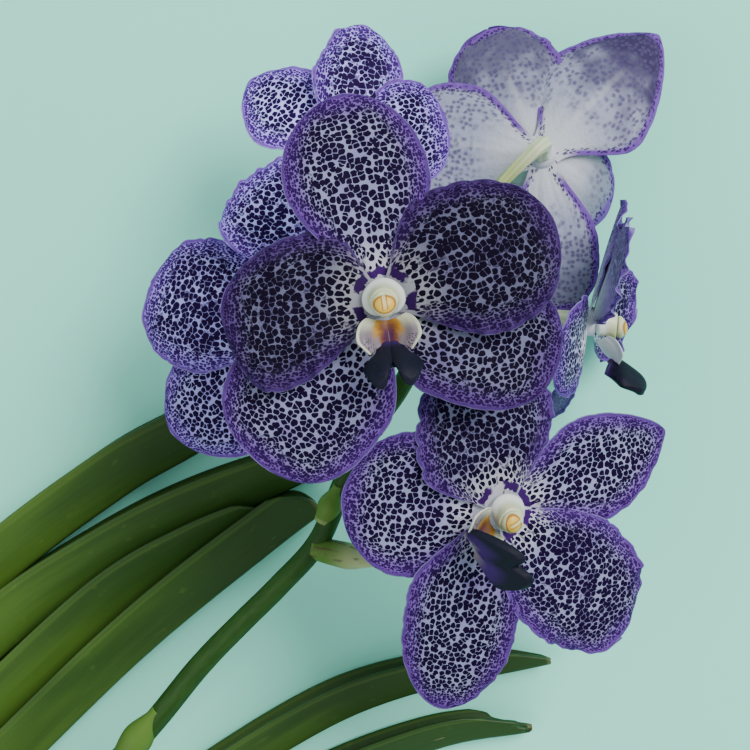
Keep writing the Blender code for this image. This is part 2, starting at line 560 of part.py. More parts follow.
def main():
    """Clears the scene and builds the plant."""
    for made in list(bpy.data.objects):
        bpy.data.objects.remove(made, do_unlink=True)
    collection = bpy.data.collections.new(NAME)
    bpy.context.scene.collection.children.link(collection)
    green = material("leaf_green", (0.06, 0.14, 0.03), 0.4)
    stalk_green = material("stalk_green", (0.07, 0.13, 0.03), 0.45)
    violet = material("spotted_violet", (0.35, 0.28, 0.55), 0.5)
    dark = material("lip_violet", (0.03, 0.02, 0.09), 0.4)
    cream = material("cream", (0.80, 0.76, 0.70), 0.5)
    yellow = material("cap_yellow", (0.80, 0.65, 0.25), 0.5)
    pale = material("pedicel_green", (0.62, 0.66, 0.45), 0.5)
    grey = material("root_grey", (0.55, 0.56, 0.50), 0.8)
    stem(collection, green)
    for name, (width, roll, keel) in LEAVES.items():
        leaf(name, width, roll, keel, collection, green)
    for name, route in ROOTS.items():
        root(name, route, collection, grey)
    spike(collection, stalk_green)
    for name, bloom in BLOOMS.items():
        perianth(name + "_perianth", bloom, collection, violet)
        lobes(name + "_lobes", bloom, collection, cream)
        lip(name + "_lip", bloom, collection, dark)
        column(name + "_column", bloom, collection, cream)
        cap(name + "_cap", bloom, collection, yellow)
        pedicel(name + "_pedicel", bloom, collection, pale)
    for made in collection.objects:
        made.data.transform(Matrix.Translation(MIDDLE))


if __name__ == "__main__":
    main()
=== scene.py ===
"""A vanda orchid in flower, finished: fine tepals, lips, leaves and stalks in place of the plain solids.

Every new surface is worked out from the same measures as the solids, as a function of two parameters on a
grid. Metres, +Z up, the plant lies on the floor z = 0 and the camera looks straight down on it."""
import math
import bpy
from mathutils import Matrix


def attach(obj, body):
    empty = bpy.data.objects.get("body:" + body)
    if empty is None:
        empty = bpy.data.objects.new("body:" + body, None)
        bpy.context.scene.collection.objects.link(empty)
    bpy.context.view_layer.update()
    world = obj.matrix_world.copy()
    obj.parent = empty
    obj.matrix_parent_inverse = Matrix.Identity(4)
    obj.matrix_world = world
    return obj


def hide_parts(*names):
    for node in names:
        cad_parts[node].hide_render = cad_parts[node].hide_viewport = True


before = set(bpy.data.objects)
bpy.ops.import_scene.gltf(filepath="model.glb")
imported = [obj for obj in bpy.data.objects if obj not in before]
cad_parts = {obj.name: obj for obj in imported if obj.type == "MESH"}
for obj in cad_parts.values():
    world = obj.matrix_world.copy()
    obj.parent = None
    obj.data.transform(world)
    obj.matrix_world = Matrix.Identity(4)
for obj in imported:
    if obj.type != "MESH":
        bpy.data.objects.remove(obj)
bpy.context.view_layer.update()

from types import SimpleNamespace

import bpy
import numpy as np
from bpy.props import FloatProperty, FloatVectorProperty, PointerProperty
from mathutils import Vector

bl_info = {
    "name": "Vanda orchid",
    "version": (1, 0, 0),
    "blender": (4, 5, 0),
    "location": "3D View > Sidebar > Orchid",
    "description": "Builds a spotted vanda orchid in flower, with its leaves, stalk and roots",
    "category": "Add Mesh",
}

# Measures shared with the solids
GAP = 0.0003
MIDDLE = np.array([0.1348, 0.1375, 0.0])
LEAF_FOLD = 27
STALK_RADIUS = 0.0035
STALK_END_RADIUS = 0.0027
STEM_RADIUS = 0.0062
SHEATH_RADIUS = 0.0072
SHEATH_REACH = 0.020
ROOT_RADIUS = 0.0032
BOSS_RADIUS = 0.0050
BOSS_TOP = 0.0020
BOSS_BACK = -0.0030
COLUMN_PROFILE = ((0.0050, 0.0), (0.0061, 0.0012), (0.0046, 0.0036), (0.0037, 0.0070))
CAP_RADIUS = 0.0036
CAP_HEIGHT = 0.0030
LIP_FOOT = (-0.0061, 0.0036)
LIP_RISE = 0.0225
TROUGH = 0.36
PEDICEL_START = 0.0015
PEDICEL_END = 0.0026
UP = np.array([0, 0, 1.0])

# Each tepal is a row of numbers: turn from the dorsal sepal (degrees, anticlockwise seen from the front),
# length, half width on the anticlockwise side and on the other, the share of the length at which each side
# is widest, bend sideways, roll about its midline (degrees), forward slope, droop of the outer half, cup of
# the edges, depth of the waves and how blunt the tip is.
TEPAL_KEYS = "turn length left right full_left full_right bend roll slope droop cup wave blunt".split()
# The outline of each kind: its width at the base as a share of the widest, how slowly it widens, the height
# of its base on the boss, how deep the scallops of its edges are as a share of half its width, and how much
# of the frill it has.
SEPAL = dict(claw=0.27, swell=0.95, base=-0.0006, scallop=0.012, frill=0.35)
SIDE_SEPAL = dict(claw=0.25, swell=0.85, base=-0.0006, scallop=0.012, frill=0.35)
PETAL = dict(claw=0.20, swell=0.72, base=0.0010, scallop=0.030, frill=1.0)
KINDS = (SEPAL, PETAL, PETAL, SIDE_SEPAL, SIDE_SEPAL)

# Each bloom: its centre, how far its face leans off straight up and towards which compass direction, which
# way its dorsal sepal points (degrees), how far its lip hangs and swings (right, up), the point of the stalk
# that it grows from, the bract that it grows out of and that bract's radius, and its tepals: dorsal sepal,
# two petals, two side sepals.
BLOOMS = {
    "front": dict(
        centre=(0.0026, 0.0221, 0.1150), lean=3, toward=265, dorsal=98, hang=0.0120, swing=(0.0, 0.0),
        joint=(0.0180, 0.0136, 0.0520), bract=(-0.0035, 0.0020, 0.0060), bract_radius=0.0024,
        tepals=(
            (3, 0.0620, 0.0225, 0.0210, 0.62, 0.58, 0.001, 0, 0.02, 0.08, 0.00, 0.000, 2.1),
            (87, 0.0478, 0.0245, 0.0225, 0.74, 0.32, 0.000, 8, 0.10, 0.05, -0.06, 0.030, 2.1),
            (-73, 0.0545, 0.0235, 0.0240, 0.42, 0.58, 0.000, -6, 0.12, 0.06, -0.06, 0.020, 2.3),
            (137, 0.0615, 0.0225, 0.0260, 0.50, 0.60, 0.000, 0, 0.02, 0.07, 0.05, 0.012, 2.8),
            (-121, 0.0555, 0.0220, 0.0205, 0.58, 0.38, 0.000, 0, 0.02, 0.07, 0.05, 0.012, 2.6),
        ),
    ),
    "low_right": dict(
        centre=(0.0400, -0.0425, 0.0850), lean=24, toward=323, dorsal=22, hang=0.0200, swing=(0.40, 1.00),
        joint=(-0.0215, -0.0590, 0.0500), bract=(0.0205, -0.0045, 0.0020), bract_radius=0.0048,
        tepals=(
            (-3, 0.0625, 0.0190, 0.0190, 0.52, 0.58, -0.001, 0, 0.02, 0.06, 0.10, 0.010, 1.5),
            (81, 0.0500, 0.0235, 0.0240, 0.42, 0.60, 0.000, 0, 0.00, 0.16, 0.00, 0.020, 2.4),
            (-70, 0.0662, 0.0235, 0.0205, 0.56, 0.52, 0.000, 0, 0.06, 0.04, -0.06, 0.040, 2.4),
            (150, 0.0505, 0.0240, 0.0240, 0.58, 0.58, 0.000, 0, -0.02, 0.16, 0.04, 0.012, 2.2),
            (-132, 0.0700, 0.0190, 0.0230, 0.58, 0.46, 0.006, 0, 0.02, 0.05, 0.05, 0.010, 2.1),
        ),
    ),
    "top": dict(
        centre=(-0.0098, 0.0743, 0.0700), lean=20, toward=120, dorsal=147, hang=0.0120, swing=(0.0, 0.0),
        joint=(0.0262, 0.0306, 0.0520), bract=(-0.0040, 0.0042, 0.0010), bract_radius=0.0022,
        tepals=(
            (-9, 0.0465, 0.0170, 0.0150, 0.56, 0.60, 0.000, 0, 0.00, 0.10, 0.06, 0.010, 1.6),
            (-66, 0.0440, 0.0145, 0.0165, 0.54, 0.54, 0.000, 20, 0.10, 0.06, -0.10, 0.050, 1.9),
            (74, 0.0500, 0.0195, 0.0135, 0.54, 0.54, 0.000, 0, 0.14, 0.06, -0.06, 0.030, 2.4),
            (-136, 0.0345, 0.0200, 0.0200, 0.58, 0.58, 0.000, 0, 0.02, 0.06, 0.04, 0.012, 2.6),
            (136, 0.0400, 0.0180, 0.0180, 0.58, 0.58, 0.000, 0, -0.04, 0.14, 0.04, 0.012, 2.6),
        ),
    ),
    "left": dict(
        centre=(-0.0301, 0.0131, 0.0680), lean=14, toward=150, dorsal=90, hang=0.0120, swing=(0.0, 0.0),
        joint=(-0.0075, -0.0290, 0.0520), bract=(-0.0045, 0.0030, 0.0010), bract_radius=0.0022,
        tepals=(
            (-3, 0.0470, 0.0165, 0.0185, 0.60, 0.60, 0.000, 0, 0.00, 0.20, 0.04, 0.012, 2.2),
            (70, 0.0500, 0.0225, 0.0230, 0.54, 0.54, 0.000, 0, 0.06, 0.06, -0.04, 0.020, 2.8),
            (-72, 0.0340, 0.0150, 0.0150, 0.54, 0.54, 0.000, 0, 0.00, 0.20, 0.00, 0.020, 2.2),
            (129, 0.0510, 0.0250, 0.0180, 0.54, 0.58, 0.000, 0, 0.00, 0.10, 0.04, 0.012, 1.9),
            (-140, 0.0420, 0.0180, 0.0180, 0.58, 0.58, 0.000, 0, 0.00, 0.20, 0.04, 0.012, 2.2),
        ),
    ),
    "back": dict(
        centre=(0.0586, 0.0771, 0.0380), lean=170, toward=330, dorsal=46, hang=0.0120, swing=(0.0, 0.0),
        joint=(0.0350, 0.0510, 0.0520), bract=(0.0040, 0.0070, 0.0005), bract_radius=0.0026,
        tepals=(
            (0, 0.0590, 0.0220, 0.0240, 0.44, 0.44, 0.000, 0, 0.05, -0.02, 0.20, 0.010, 1.5),
            (-66, 0.0515, 0.0200, 0.0235, 0.54, 0.54, 0.000, 0, 0.10, 0.04, 0.02, 0.040, 2.3),
            (82, 0.0275, 0.0140, 0.0150, 0.54, 0.54, 0.000, 0, 0.20, -0.90, 0.02, 0.020, 2.3),
            (-124, 0.0520, 0.0220, 0.0220, 0.58, 0.58, 0.000, 0, 0.02, 0.06, 0.05, 0.012, 2.6),
            (131, 0.0560, 0.0180, 0.0165, 0.58, 0.58, 0.000, 0, 0.08, 0.06, 0.05, 0.012, 2.6),
        ),
    ),
    "side": dict(
        centre=(0.0740, 0.0185, 0.0460), lean=82, toward=355, dorsal=90, hang=0.0100, swing=(0.0, 0.0),
        joint=(0.0220, 0.0215, 0.0520), bract=(0.0050, -0.0020, 0.0000), bract_radius=0.0022,
        tepals=(
            (-4, 0.0430, 0.0150, 0.0150, 0.60, 0.60, 0.000, 0, 0.20, 0.00, 0.12, 0.030, 1.8),
            (46, 0.0430, 0.0190, 0.0190, 0.54, 0.54, 0.000, 0, 0.20, 0.00, 0.06, 0.020, 1.9),
            (-78, 0.0380, 0.0180, 0.0180, 0.54, 0.54, 0.000, 0, 0.22, -0.20, 0.02, 0.040, 2.3),
            (118, 0.0340, 0.0180, 0.0180, 0.58, 0.58, 0.000, 0, -0.10, 0.20, 0.04, 0.012, 2.4),
            (-152, 0.0370, 0.0170, 0.0170, 0.58, 0.58, 0.000, 0, -0.10, 0.20, 0.04, 0.012, 2.4),
        ),
    ),
}

# Each leaf: its width when opened out, how far it is rolled over (degrees), and its keel from the sheath
# to the tip.
LEAVES = {
    "leaf_r1": (0.044, 4, (
        (-0.196, -0.137, 0.0115), (-0.137, -0.079, 0.0105), (-0.094, -0.046, 0.0105),
        (-0.067, -0.030, 0.0102), (-0.027, -0.007, 0.0100))),
    "leaf_r2": (0.044, 4, (
        (-0.199, -0.168, 0.0115), (-0.137, -0.104, 0.0105), (-0.094, -0.074, 0.0105),
        (-0.049, -0.051, 0.0102), (-0.014, -0.034, 0.0100))),
    "leaf_r3": (0.040, 4, (
        (-0.202, -0.196, 0.0115), (-0.137, -0.130, 0.0100), (-0.094, -0.090, 0.0100),
        (-0.064, -0.070, 0.0102), (-0.036, -0.0535, 0.0112))),
    "leaf_r4": (0.042, 4, (
        (-0.204, -0.222, 0.0115), (-0.119, -0.137, 0.0105), (-0.079, -0.099, 0.0105),
        (-0.036, -0.064, 0.0102), (-0.019, -0.051, 0.0100))),
    "leaf_r5": (0.035, 4, (
        (-0.209, -0.266, 0.0115), (-0.150, -0.222, 0.0100), (-0.090, -0.178, 0.0092),
        (-0.031, -0.139, 0.0085), (0.009, -0.1205, 0.0080), (0.066, -0.1075, 0.0062))),
    "leaf_r6": (0.032, 4, (
        (-0.214, -0.292, 0.0115), (-0.150, -0.252, 0.0095), (-0.095, -0.214, 0.0086),
        (-0.038, -0.168, 0.0080), (0.020, -0.1405, 0.0076), (0.059, -0.1330, 0.0062))),
    "leaf_l1": (0.036, 4, (
        (-0.2190, -0.120, 0.0115), (-0.240, -0.080, 0.0098),
        (-0.274, -0.046, 0.0090), (-0.312, -0.034, 0.0078))),
    "leaf_l2": (0.042, 4, (
        (-0.2235, -0.151, 0.0115), (-0.256, -0.108, 0.0105),
        (-0.300, -0.078, 0.0102), (-0.350, -0.068, 0.0086))),
    "leaf_l3": (0.042, 27, (
        (-0.2275, -0.182, 0.0110), (-0.266, -0.144, 0.0040),
        (-0.300, -0.126, 0.0009), (-0.366, -0.112, 0.0009))),
    "leaf_l4": (0.042, 4, (
        (-0.2320, -0.212, 0.0115), (-0.272, -0.178, 0.0105),
        (-0.320, -0.158, 0.0102), (-0.370, -0.158, 0.0086))),
    "leaf_l5": (0.040, 4, (
        (-0.2365, -0.244, 0.0115), (-0.274, -0.216, 0.0105),
        (-0.314, -0.202, 0.0102), (-0.356, -0.208, 0.0084))),
}
# Where the stem starts and ends, and the way of the flower stalk from its foot to its last bloom.
STEM_FOOT = np.array([-0.232, -0.318, 0.0064])
STEM_TIP = np.array([-0.205, -0.120, 0.0105])
STALK = (
    (-0.2132, -0.2520, 0.0085), (-0.172, -0.208, 0.0180), (-0.130, -0.172, 0.0270),
    (-0.0872, -0.1325, 0.0350), (-0.0611, -0.1013, 0.0420), (-0.0467, -0.0861, 0.0450),
    (-0.0326, -0.0719, 0.0480), (-0.0191, -0.0564, 0.0500), (-0.0102, -0.0351, 0.0520),
    (-0.0010, -0.0180, 0.0520), (0.0085, -0.0044, 0.0520), (0.0180, 0.0136, 0.0520),
    (0.0262, 0.0306, 0.0520), (0.0323, 0.0460, 0.0520), (0.0355, 0.0530, 0.0520),
)
# The sheathing bracts that clasp the stalk below its blooms: where each starts and ends, and its radius.
STALK_BRACTS = (
    ((-0.0900, -0.1370, 0.0345), (-0.0760, -0.1170, 0.0400), 0.0056),
    ((-0.0175, -0.0500, 0.0510), (-0.0125, -0.0375, 0.0545), 0.0042),
)
# The way of each root over the floor.
ROOTS = {
    "root_1": (
        (-0.2380, -0.3120), (-0.2480, -0.3106), (-0.2640, -0.3200), (-0.2870, -0.3240), (-0.3120, -0.3400)),
    "root_2": (
        (-0.2358, -0.3179), (-0.2372, -0.3278), (-0.2310, -0.3520), (-0.2400, -0.3760), (-0.2320, -0.4000)),
    "root_3": (
        (-0.2286, -0.3189), (-0.2294, -0.3260), (-0.2180, -0.3390), (-0.1900, -0.3350), (-0.1560, -0.3440)),
}

# How ragged the tip of a leaf is, how much wider than its solid it is drawn, and how far it narrows to its
# tip, where these aren't the usual ones.
BITES = {"leaf_r6": 1.8, "leaf_r4": 0.2, "leaf_r5": 0.3}
WIDER = {"leaf_r1": 1.04, "leaf_r2": 1.09, "leaf_r3": 1.10, "leaf_r4": 1.06}
TAPER = {"leaf_r4": 0.12, "leaf_r3": 0.40, "leaf_r5": 0.68, "leaf_r6": 0.45}
# How much thicker than their solids the stalk and the pedicels are drawn.
STALK_THICKER = 1.16
PEDICEL_THICKER = 1.22
# The ribs of a pedicel, and how far they wind round it (radians).
RIBS = 6
RIB_WIND = 1.2

# Painted light and shade for each tepal of a bloom, in the order of the solids: below 1 it darkens the
# tepal's front as painted shade, above 1 it lightens it as painted light.
LIGHT_AND_SHADE_TONES = {
    "front": (0.80, 0.43, 0.41, 0.78, 0.52),
    "low_right": (0.95, 0.72, 1.05, 0.85, 0.80),
    "top": (2.0, 1.75, 2.0, 1.6, 1.6),
    "left": (1.35, 1.45, 1.35, 1.35, 1.35),
    "back": (0.35, 0.55, 0.80, 1.0, 0.7),
    "side": (1.3, 1.3, 1.3, 1.3, 1.3),
}
# The painted light and shade tones over which a back turns from blue to lilac, and those over which the
# front's ground is given a painted light.
LILAC_TONE = (1.22, 1.28)
PAINTED_LIGHT_TONE = (1.31, 1.34)
# How much of the face shows through the backs of a bloom's tepals, where it does.
THROUGH = {"side": 0.60}
# The spots: the millimetres from the middle of the bloom over which the heart ends, half the width of the
# net's lines and the smallest radius of a spot's circle, both in cells, at the heart and beyond it, and how
# far a spot's corners are rounded.
HEART = (10.0, 26.0)
LINE = (0.135, 0.070)
CIRCLE = (0.26, 0.37)
ROUNDING = 0.16
# How many cells of the finer net lie in one of the other, across and along, and how far cells are scattered.
FINE_CELLS = (1.75, 1.60, 1)
CELL_SCATTER = 0.82

# The grid of a tepal, where it starts, how far its edges fall behind its midline as a share of half its
# width, and its thickness at the margin and from 6 mm inside it.
TEPAL_ROWS = 96
TEPAL_COLUMNS = 57
TEPAL_FOOT = 0.0015
TEPAL_SHOULDER = 0.10
TEPAL_RIM = 0.00022
TEPAL_THICK = 0.00090
# The thickness of a leaf at its keel, of the solids of the lip, and of the trough and the midlobe as drawn.
LEAF_THICK = 0.0018
LIP_THICK = 0.0018
TROUGH_THICK = 0.0010
MIDLOBE_THICK = 0.0028
# How the midlobe curls: shares of its way, and how far down and back it has come there.
MIDLOBE_CURL = ((0.0, 0.0, 0.0), (0.4, 0.0008, 0.0004), (0.75, 0.0028, 0.0022), (1.0, 0.0062, 0.0060))
# Over the first of these leans (degrees) a bloom's midlobe is drawn this much larger, and over the second it
# droops more at its sides.
LEANING = 22
SIDEWAYS = 60
MIDLOBE_LARGER = 1.25
# How far the column and the cap lean towards the lip, at one centimetre over the boss.
COLUMN_LEAN = 0.0016

# The lights: where each stands, how wide it is and its power, all aimed at the middle of the blooms.
AIM = (0.13, 0.14, 0.05)
LIGHTS = (
    ("key", (0.95, 0.75, 1.35), 0.9, 29.0),
    ("fill", (-0.9, -0.4, 1.2), 1.4, 9.0),
)
SKY = (0.78, 0.92, 0.90)
SKY_STRENGTH = 0.55
# The floor lies a little under the plant, so that the two don't share a surface.
FLOOR_REACH = 6.0
FLOOR_LEVEL = -0.0002
# The camera's height, focal length and sensor width, the last two in millimetres.
CAMERA_HEIGHT = 0.515
FOCAL_LENGTH = 65.28
SENSOR_WIDTH = 36


def smooth_path(points, count):
    """A smooth curve through the points, as count places evenly spaced along it: a spline whose slope at
    each point is half the way between its neighbours, read off at equal steps of its length."""
    knots = np.array(points, float)
    padded = np.vstack([2 * knots[0] - knots[1], knots, 2 * knots[-1] - knots[-2]])
    fine = []
    for step in range(len(knots) - 1):
        before, start, end, after = padded[step : step + 4]
        for part in np.linspace(0, 1, 24, endpoint=False):
            pull = (end - before) * part + (2 * before - 5 * start + 4 * end - after) * part**2
            fine.append(start + 0.5 * (pull + (3 * start - before - 3 * end + after) * part**3))
    fine = np.vstack([fine, knots[-1]])
    along = np.concatenate([[0], np.cumsum(np.linalg.norm(np.diff(fine, axis=0), axis=1))])
    stops = np.linspace(0, along[-1], count)
    return np.column_stack([np.interp(stops, along, fine[:, axis]) for axis in range(3)])


def read_off(line, part):
    """Places on a line, or directions kept for it, at each part of its length from 0 to 1."""
    stops = np.linspace(0, 1, len(line))
    return stacked(*(np.interp(part, stops, line[:, axis]) for axis in range(3)))


def length_of(line):
    """The length of a line of places."""
    return np.linalg.norm(np.diff(line, axis=0), axis=1).sum()


def stacked(*fields):
    """Fields on the same grid, each spread out to its full size, side by side as vectors."""
    return np.stack(np.broadcast_arrays(*fields), axis=-1)


def crowded(count, pull=1.0):
    """Numbers from -1 to 1, in a row, that crowd towards both ends as a sine does, by a pull of up to 1."""
    return np.sin(np.linspace(-1, 1, count) * math.pi / 2 * pull)[None, :] / math.sin(math.pi / 2 * pull)


def angles_round(count):
    """Evenly spaced angles round a circle, in a row."""
    return np.arange(count)[None, :] * 2 * math.pi / count


def eased(value, low, high):
    """0 below low, 1 above high, and a smooth step between them."""
    share = np.clip((value - low) / (high - low), 0, 1)
    return share * share * (3 - 2 * share)


def unit(vectors):
    """Each vector at length 1, or left as it is where it has no length."""
    size = np.linalg.norm(vectors, axis=-1, keepdims=True)
    return vectors / np.maximum(size, 1e-12)


def bloom_axes(bloom):
    """The bloom's right, dorsal and forward directions: forward leans off straight up towards a compass
    direction, and the dorsal direction is made square to it."""
    lean, toward = math.radians(bloom["lean"]), math.radians(bloom["toward"])
    forward = np.array([math.sin(lean) * math.cos(toward), math.sin(lean) * math.sin(toward), math.cos(lean)])
    dorsal = math.radians(bloom["dorsal"])
    up = np.array([math.cos(dorsal), math.sin(dorsal), 0])
    up = up - forward * (up @ forward)
    up = up / np.linalg.norm(up)
    return np.array([np.cross(up, forward), up, forward])


def placed(points, bloom):
    """Points of a bloom's own axes, in the world."""
    return np.asarray(points) @ bloom_axes(bloom) + np.array(bloom["centre"])


def shell(points, thick, notes):
    """A closed blade round a grid of places: a front half the thickness out along the normals (the way along
    the rows crossed with the way along the columns), a back as far the other way, and a strip round the rim.
    The rows nearly meet at the tip, so the last two take the normals of the row before them.

    Each note is a field of three numbers on the grid. The last number of "place" is 1 in front, 0 behind."""
    rows, columns = points.shape[:2]
    normal = unit(np.cross(np.gradient(points, axis=0), np.gradient(points, axis=1)))
    normal[-2:] = normal[-3]
    offset = normal * np.broadcast_to(np.asarray(thick), points.shape[:2])[..., None] / 2
    index = np.arange(rows * columns).reshape(rows, columns)
    low, high = index[:-1, :], index[1:, :]
    front = np.stack([low[:, :-1], high[:, :-1], high[:, 1:], low[:, 1:]], axis=-1).reshape(-1, 4)
    back = front[:, ::-1] + rows * columns
    edge = np.concatenate([index[:, 0], index[-1, 1:], index[-2::-1, -1], index[0, -2::-1]])
    here, there = edge[:-1], edge[1:]
    rim = np.stack([there, here, here + rows * columns, there + rows * columns], axis=-1)
    doubled = {}
    for key, field in notes.items():
        flat = np.broadcast_to(field, (rows, columns, 3)).reshape(-1, 3)
        doubled[key] = np.concatenate([flat, flat]).astype(float)
    doubled["place"][:, 2] = np.repeat([1.0, 0.0], rows * columns)
    places = np.concatenate([(points + offset).reshape(-1, 3), (points - offset).reshape(-1, 3)])
    quads = np.concatenate([front, back, rim])
    return dict(points=places, quads=quads, fans=np.zeros((0, 3), int), notes=doubled)


def rings(points, notes):
    """A closed surface through rings of places, each ring a row of the grid, with a fan at either end."""
    rows, columns = points.shape[:2]
    index = np.arange(rows * columns).reshape(rows, columns)
    after = np.roll(index, -1, axis=1)
    quads = np.stack([index[:-1], after[:-1], after[1:], index[1:]], axis=-1).reshape(-1, 4)
    first, last = rows * columns, rows * columns + 1
    low = np.stack([after[0], index[0], np.full(columns, first)], axis=-1)
    high = np.stack([index[-1], after[-1], np.full(columns, last)], axis=-1)
    ends = np.array([points[0].mean(axis=0), points[-1].mean(axis=0)])
    closed = {}
    for key, field in notes.items():
        middles = [field[0].mean(axis=0), field[-1].mean(axis=0)]
        closed[key] = np.concatenate([field.reshape(-1, 3), middles])
    places = np.concatenate([points.reshape(-1, 3), ends])
    return dict(points=places, quads=quads, fans=np.concatenate([low, high]), notes=closed)


def along_path(path, radii):
    """Rings round a path: at each place, radius times the cosine of the angle to one side and its sine to the
    other, in directions that turn with the path and don't twist. radii has a row for each place."""
    ahead = unit(np.gradient(path, axis=0))
    side = np.cross(ahead[0], UP)
    sides = []
    for direction in ahead:
        side = side - direction * (side @ direction)
        side = side / np.linalg.norm(side)
        sides.append(side)
    side = np.array(sides)
    over = np.cross(ahead, side)
    turns = angles_round(radii.shape[1])[..., None]
    reach = radii[..., None]
    sideways = reach * np.cos(turns) * side[:, None, :]
    return path[:, None, :] + sideways + reach * np.sin(turns) * over[:, None, :]


def tube(route, rows, sides, radius, seed=0.0):
    """A rounded bar along a smooth path. radius is a function of the part of its length and the angle round
    it. The note "place" holds the part, the angle and the seed, and "pattern" the millimetres across in two
    directions and along, shifted by the seed."""
    path = smooth_path(route, rows)
    part = np.linspace(0, 1, rows)[:, None]
    turns = angles_round(sides)
    radii = np.broadcast_to(radius(part, turns), (rows, sides))
    across, over = 1000 * radii * np.cos(turns), 1000 * radii * np.sin(turns)
    pattern = stacked(across, over, part * length_of(path) * 1000) + [seed * 13, seed * 7, 0]
    return rings(along_path(path, radii), {"place": stacked(part, turns, seed), "pattern": pattern})


def turned(profile, sides, bloom, bump=None, origin=(0, 0, 0), lean=0.0):
    """A closed surface turned about the bloom's forward axis from radii and heights. bump may push it in or
    out as a function of the part of the height and the angle. It leans towards the lip by the square of the
    height over the boss, by as much as lean at one centimetre."""
    profile = np.array(profile)
    part = np.linspace(0, 1, len(profile))[:, None]
    turns = angles_round(sides)
    radii = profile[:, :1] * (1 + (bump(part, turns) if bump else 0 * turns))
    height = profile[:, 1:]
    points = stacked(radii * np.cos(turns), radii * np.sin(turns), height) + np.array(origin)
    notes = {"place": stacked(part, turns, height * 1000), "pattern": points * 1000}
    shift = lean * (np.clip(points[..., 2:] - BOSS_TOP, 0, None) / 0.010) ** 2
    return rings(placed(points - shift * np.array([0, 1.0, 0]), bloom), notes)


def add_piece(name, patches, finish, slot, *nodes):
    """Puts several closed surfaces in the scene as one piece that rides on the plant and stands for the
    solids that it names, with the part's own place, its notes as attributes and its finish."""
    starts = np.cumsum([0] + [len(patch["points"]) for patch in patches])
    points = np.concatenate([patch["points"] for patch in patches]) + MIDDLE
    quads = np.concatenate([patch["quads"] + start for patch, start in zip(patches, starts)])
    fans = np.concatenate([patch["fans"] + start for patch, start in zip(patches, starts)])
    mesh = bpy.data.meshes.new(name)
    mesh.from_pydata(points.tolist(), [], quads.tolist() + fans.tolist())
    if mesh.validate():
        raise RuntimeError(f"{name}: the surface has faces that can't stand")
    for key in patches[0]["notes"]:
        field = np.concatenate([patch["notes"][key] for patch in patches])
        note = mesh.attributes.new(key, "FLOAT_VECTOR", "POINT")
        note.data.foreach_set("vector", field.astype(np.float32).ravel())
    mesh.shade_smooth()
    mesh.materials.append(finish)
    piece = bpy.data.objects.new(name, mesh)
    bpy.context.scene.collection.objects.link(piece)
    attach(piece, "root")
    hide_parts(*nodes)


def outline(part, kind, full, blunt):
    """Half the width of a tepal, as a share of its widest, at each part of its length from 0 to 1: a sine
    squared up to where it is widest, and a superellipse from there to the tip."""
    rising = np.clip(part / full, 0, 1)
    falling = np.clip((part - full) / (1 - full), 0, 1)
    opening = kind["claw"] + (1 - kind["claw"]) * np.sin(math.pi / 2 * rising ** kind["swell"]) ** 2
    closing = (1 - falling**blunt) ** (1 / blunt)
    return opening * closing


def tepal_grid(value):
    """The parts of the length and the shares of the half width where the grid of a tepal stands. Its rows are
    even up to where it is widest and crowd towards the tip, and its columns crowd towards the edges."""
    full = (value["full_left"] + value["full_right"]) / 2
    lower = np.linspace(0, full, TEPAL_ROWS - TEPAL_ROWS // 2, endpoint=False)
    upper = full + (0.99997 - full) * np.sin(np.linspace(0, math.pi / 2, TEPAL_ROWS // 2))
    return np.concatenate([lower, upper])[:, None], crowded(TEPAL_COLUMNS, 0.92)


def tepal_surface(kind, value, part, across, seed, frill):
    """How far out, how far to the left and how far forward each place of a tepal lies, and half its width.

    It starts at the boss and bends sideways with the square of the distance. Its edges fall behind the
    midline by the square of the distance from it, and are scalloped. It slopes forward, then droops back
    with the cube of the distance. Its edges are cupped by the square of the distance from the midline, waved
    by a sine that grows with its cube and frilled by two short sines that grow with its fifth power. The
    whole is rolled about its midline, which is creased, and low veins run beside it."""
    left = value["left"] * outline(part, kind, value["full_left"], value["blunt"])
    right = value["right"] * outline(part, kind, value["full_right"], value["blunt"])
    half = np.where(across > 0, left, np.where(across < 0, right, (left + right) / 2))
    spread, reach = np.abs(across), value["length"]
    along = TEPAL_FOOT + (reach - TEPAL_FOOT) * part - TEPAL_SHOULDER * half * across**2 * part
    far = along * 1000
    scallop = (1 - np.abs(np.sin(far * 0.42 + seed * 1.7 + np.sign(across) * 0.9))) ** 3
    half = half * (1 - kind["scallop"] * scallop * spread**3 * eased(part, 0.25, 0.5))
    waves = value["wave"] * reach * spread**3 * np.sin(part * 17 + across * 2.2 + value["turn"]) * part
    ripple = np.sin(far * 0.83 + across * 1.5 + seed) + 0.6 * np.sin(far * 1.71 - across + 2 * seed)
    frills = frill * kind["frill"] * spread**5 * ripple * eased(part, 0.1, 0.5)
    lift = value["cup"] * half * across**2 + waves + frills
    roll = np.radians(value["roll"]) * np.clip(part * 2.2, 0, 1)
    side = half * across
    rise = side * np.sin(roll) + lift * np.cos(roll)
    crease = -0.0006 * np.exp(-((across / 0.16) ** 2)) * np.sin(math.pi * part)
    veins = 0.00010 * np.cos(across * 23) * np.sin(math.pi * part)
    height = kind["base"] + reach * (value["slope"] * part - value["droop"] * part**3)
    forward = height + (rise + crease + veins) * np.clip(part * 5, 0, 1)
    return along, side * np.cos(roll) + value["bend"] * part**2, forward, half


def spacing_sum(share, start, end, power):
    """How many spots lie between 0 and each share of the way, where their spacing shrinks from start to end:
    the running sum of one over the spacing."""
    fine = np.linspace(0, 1, 400)
    density = 1 / (start + (end - start) * fine**power)
    total = np.concatenate([[0], np.cumsum((density[1:] + density[:-1]) / 2 * (fine[1] - fine[0]))])
    return np.interp(share, fine, total)


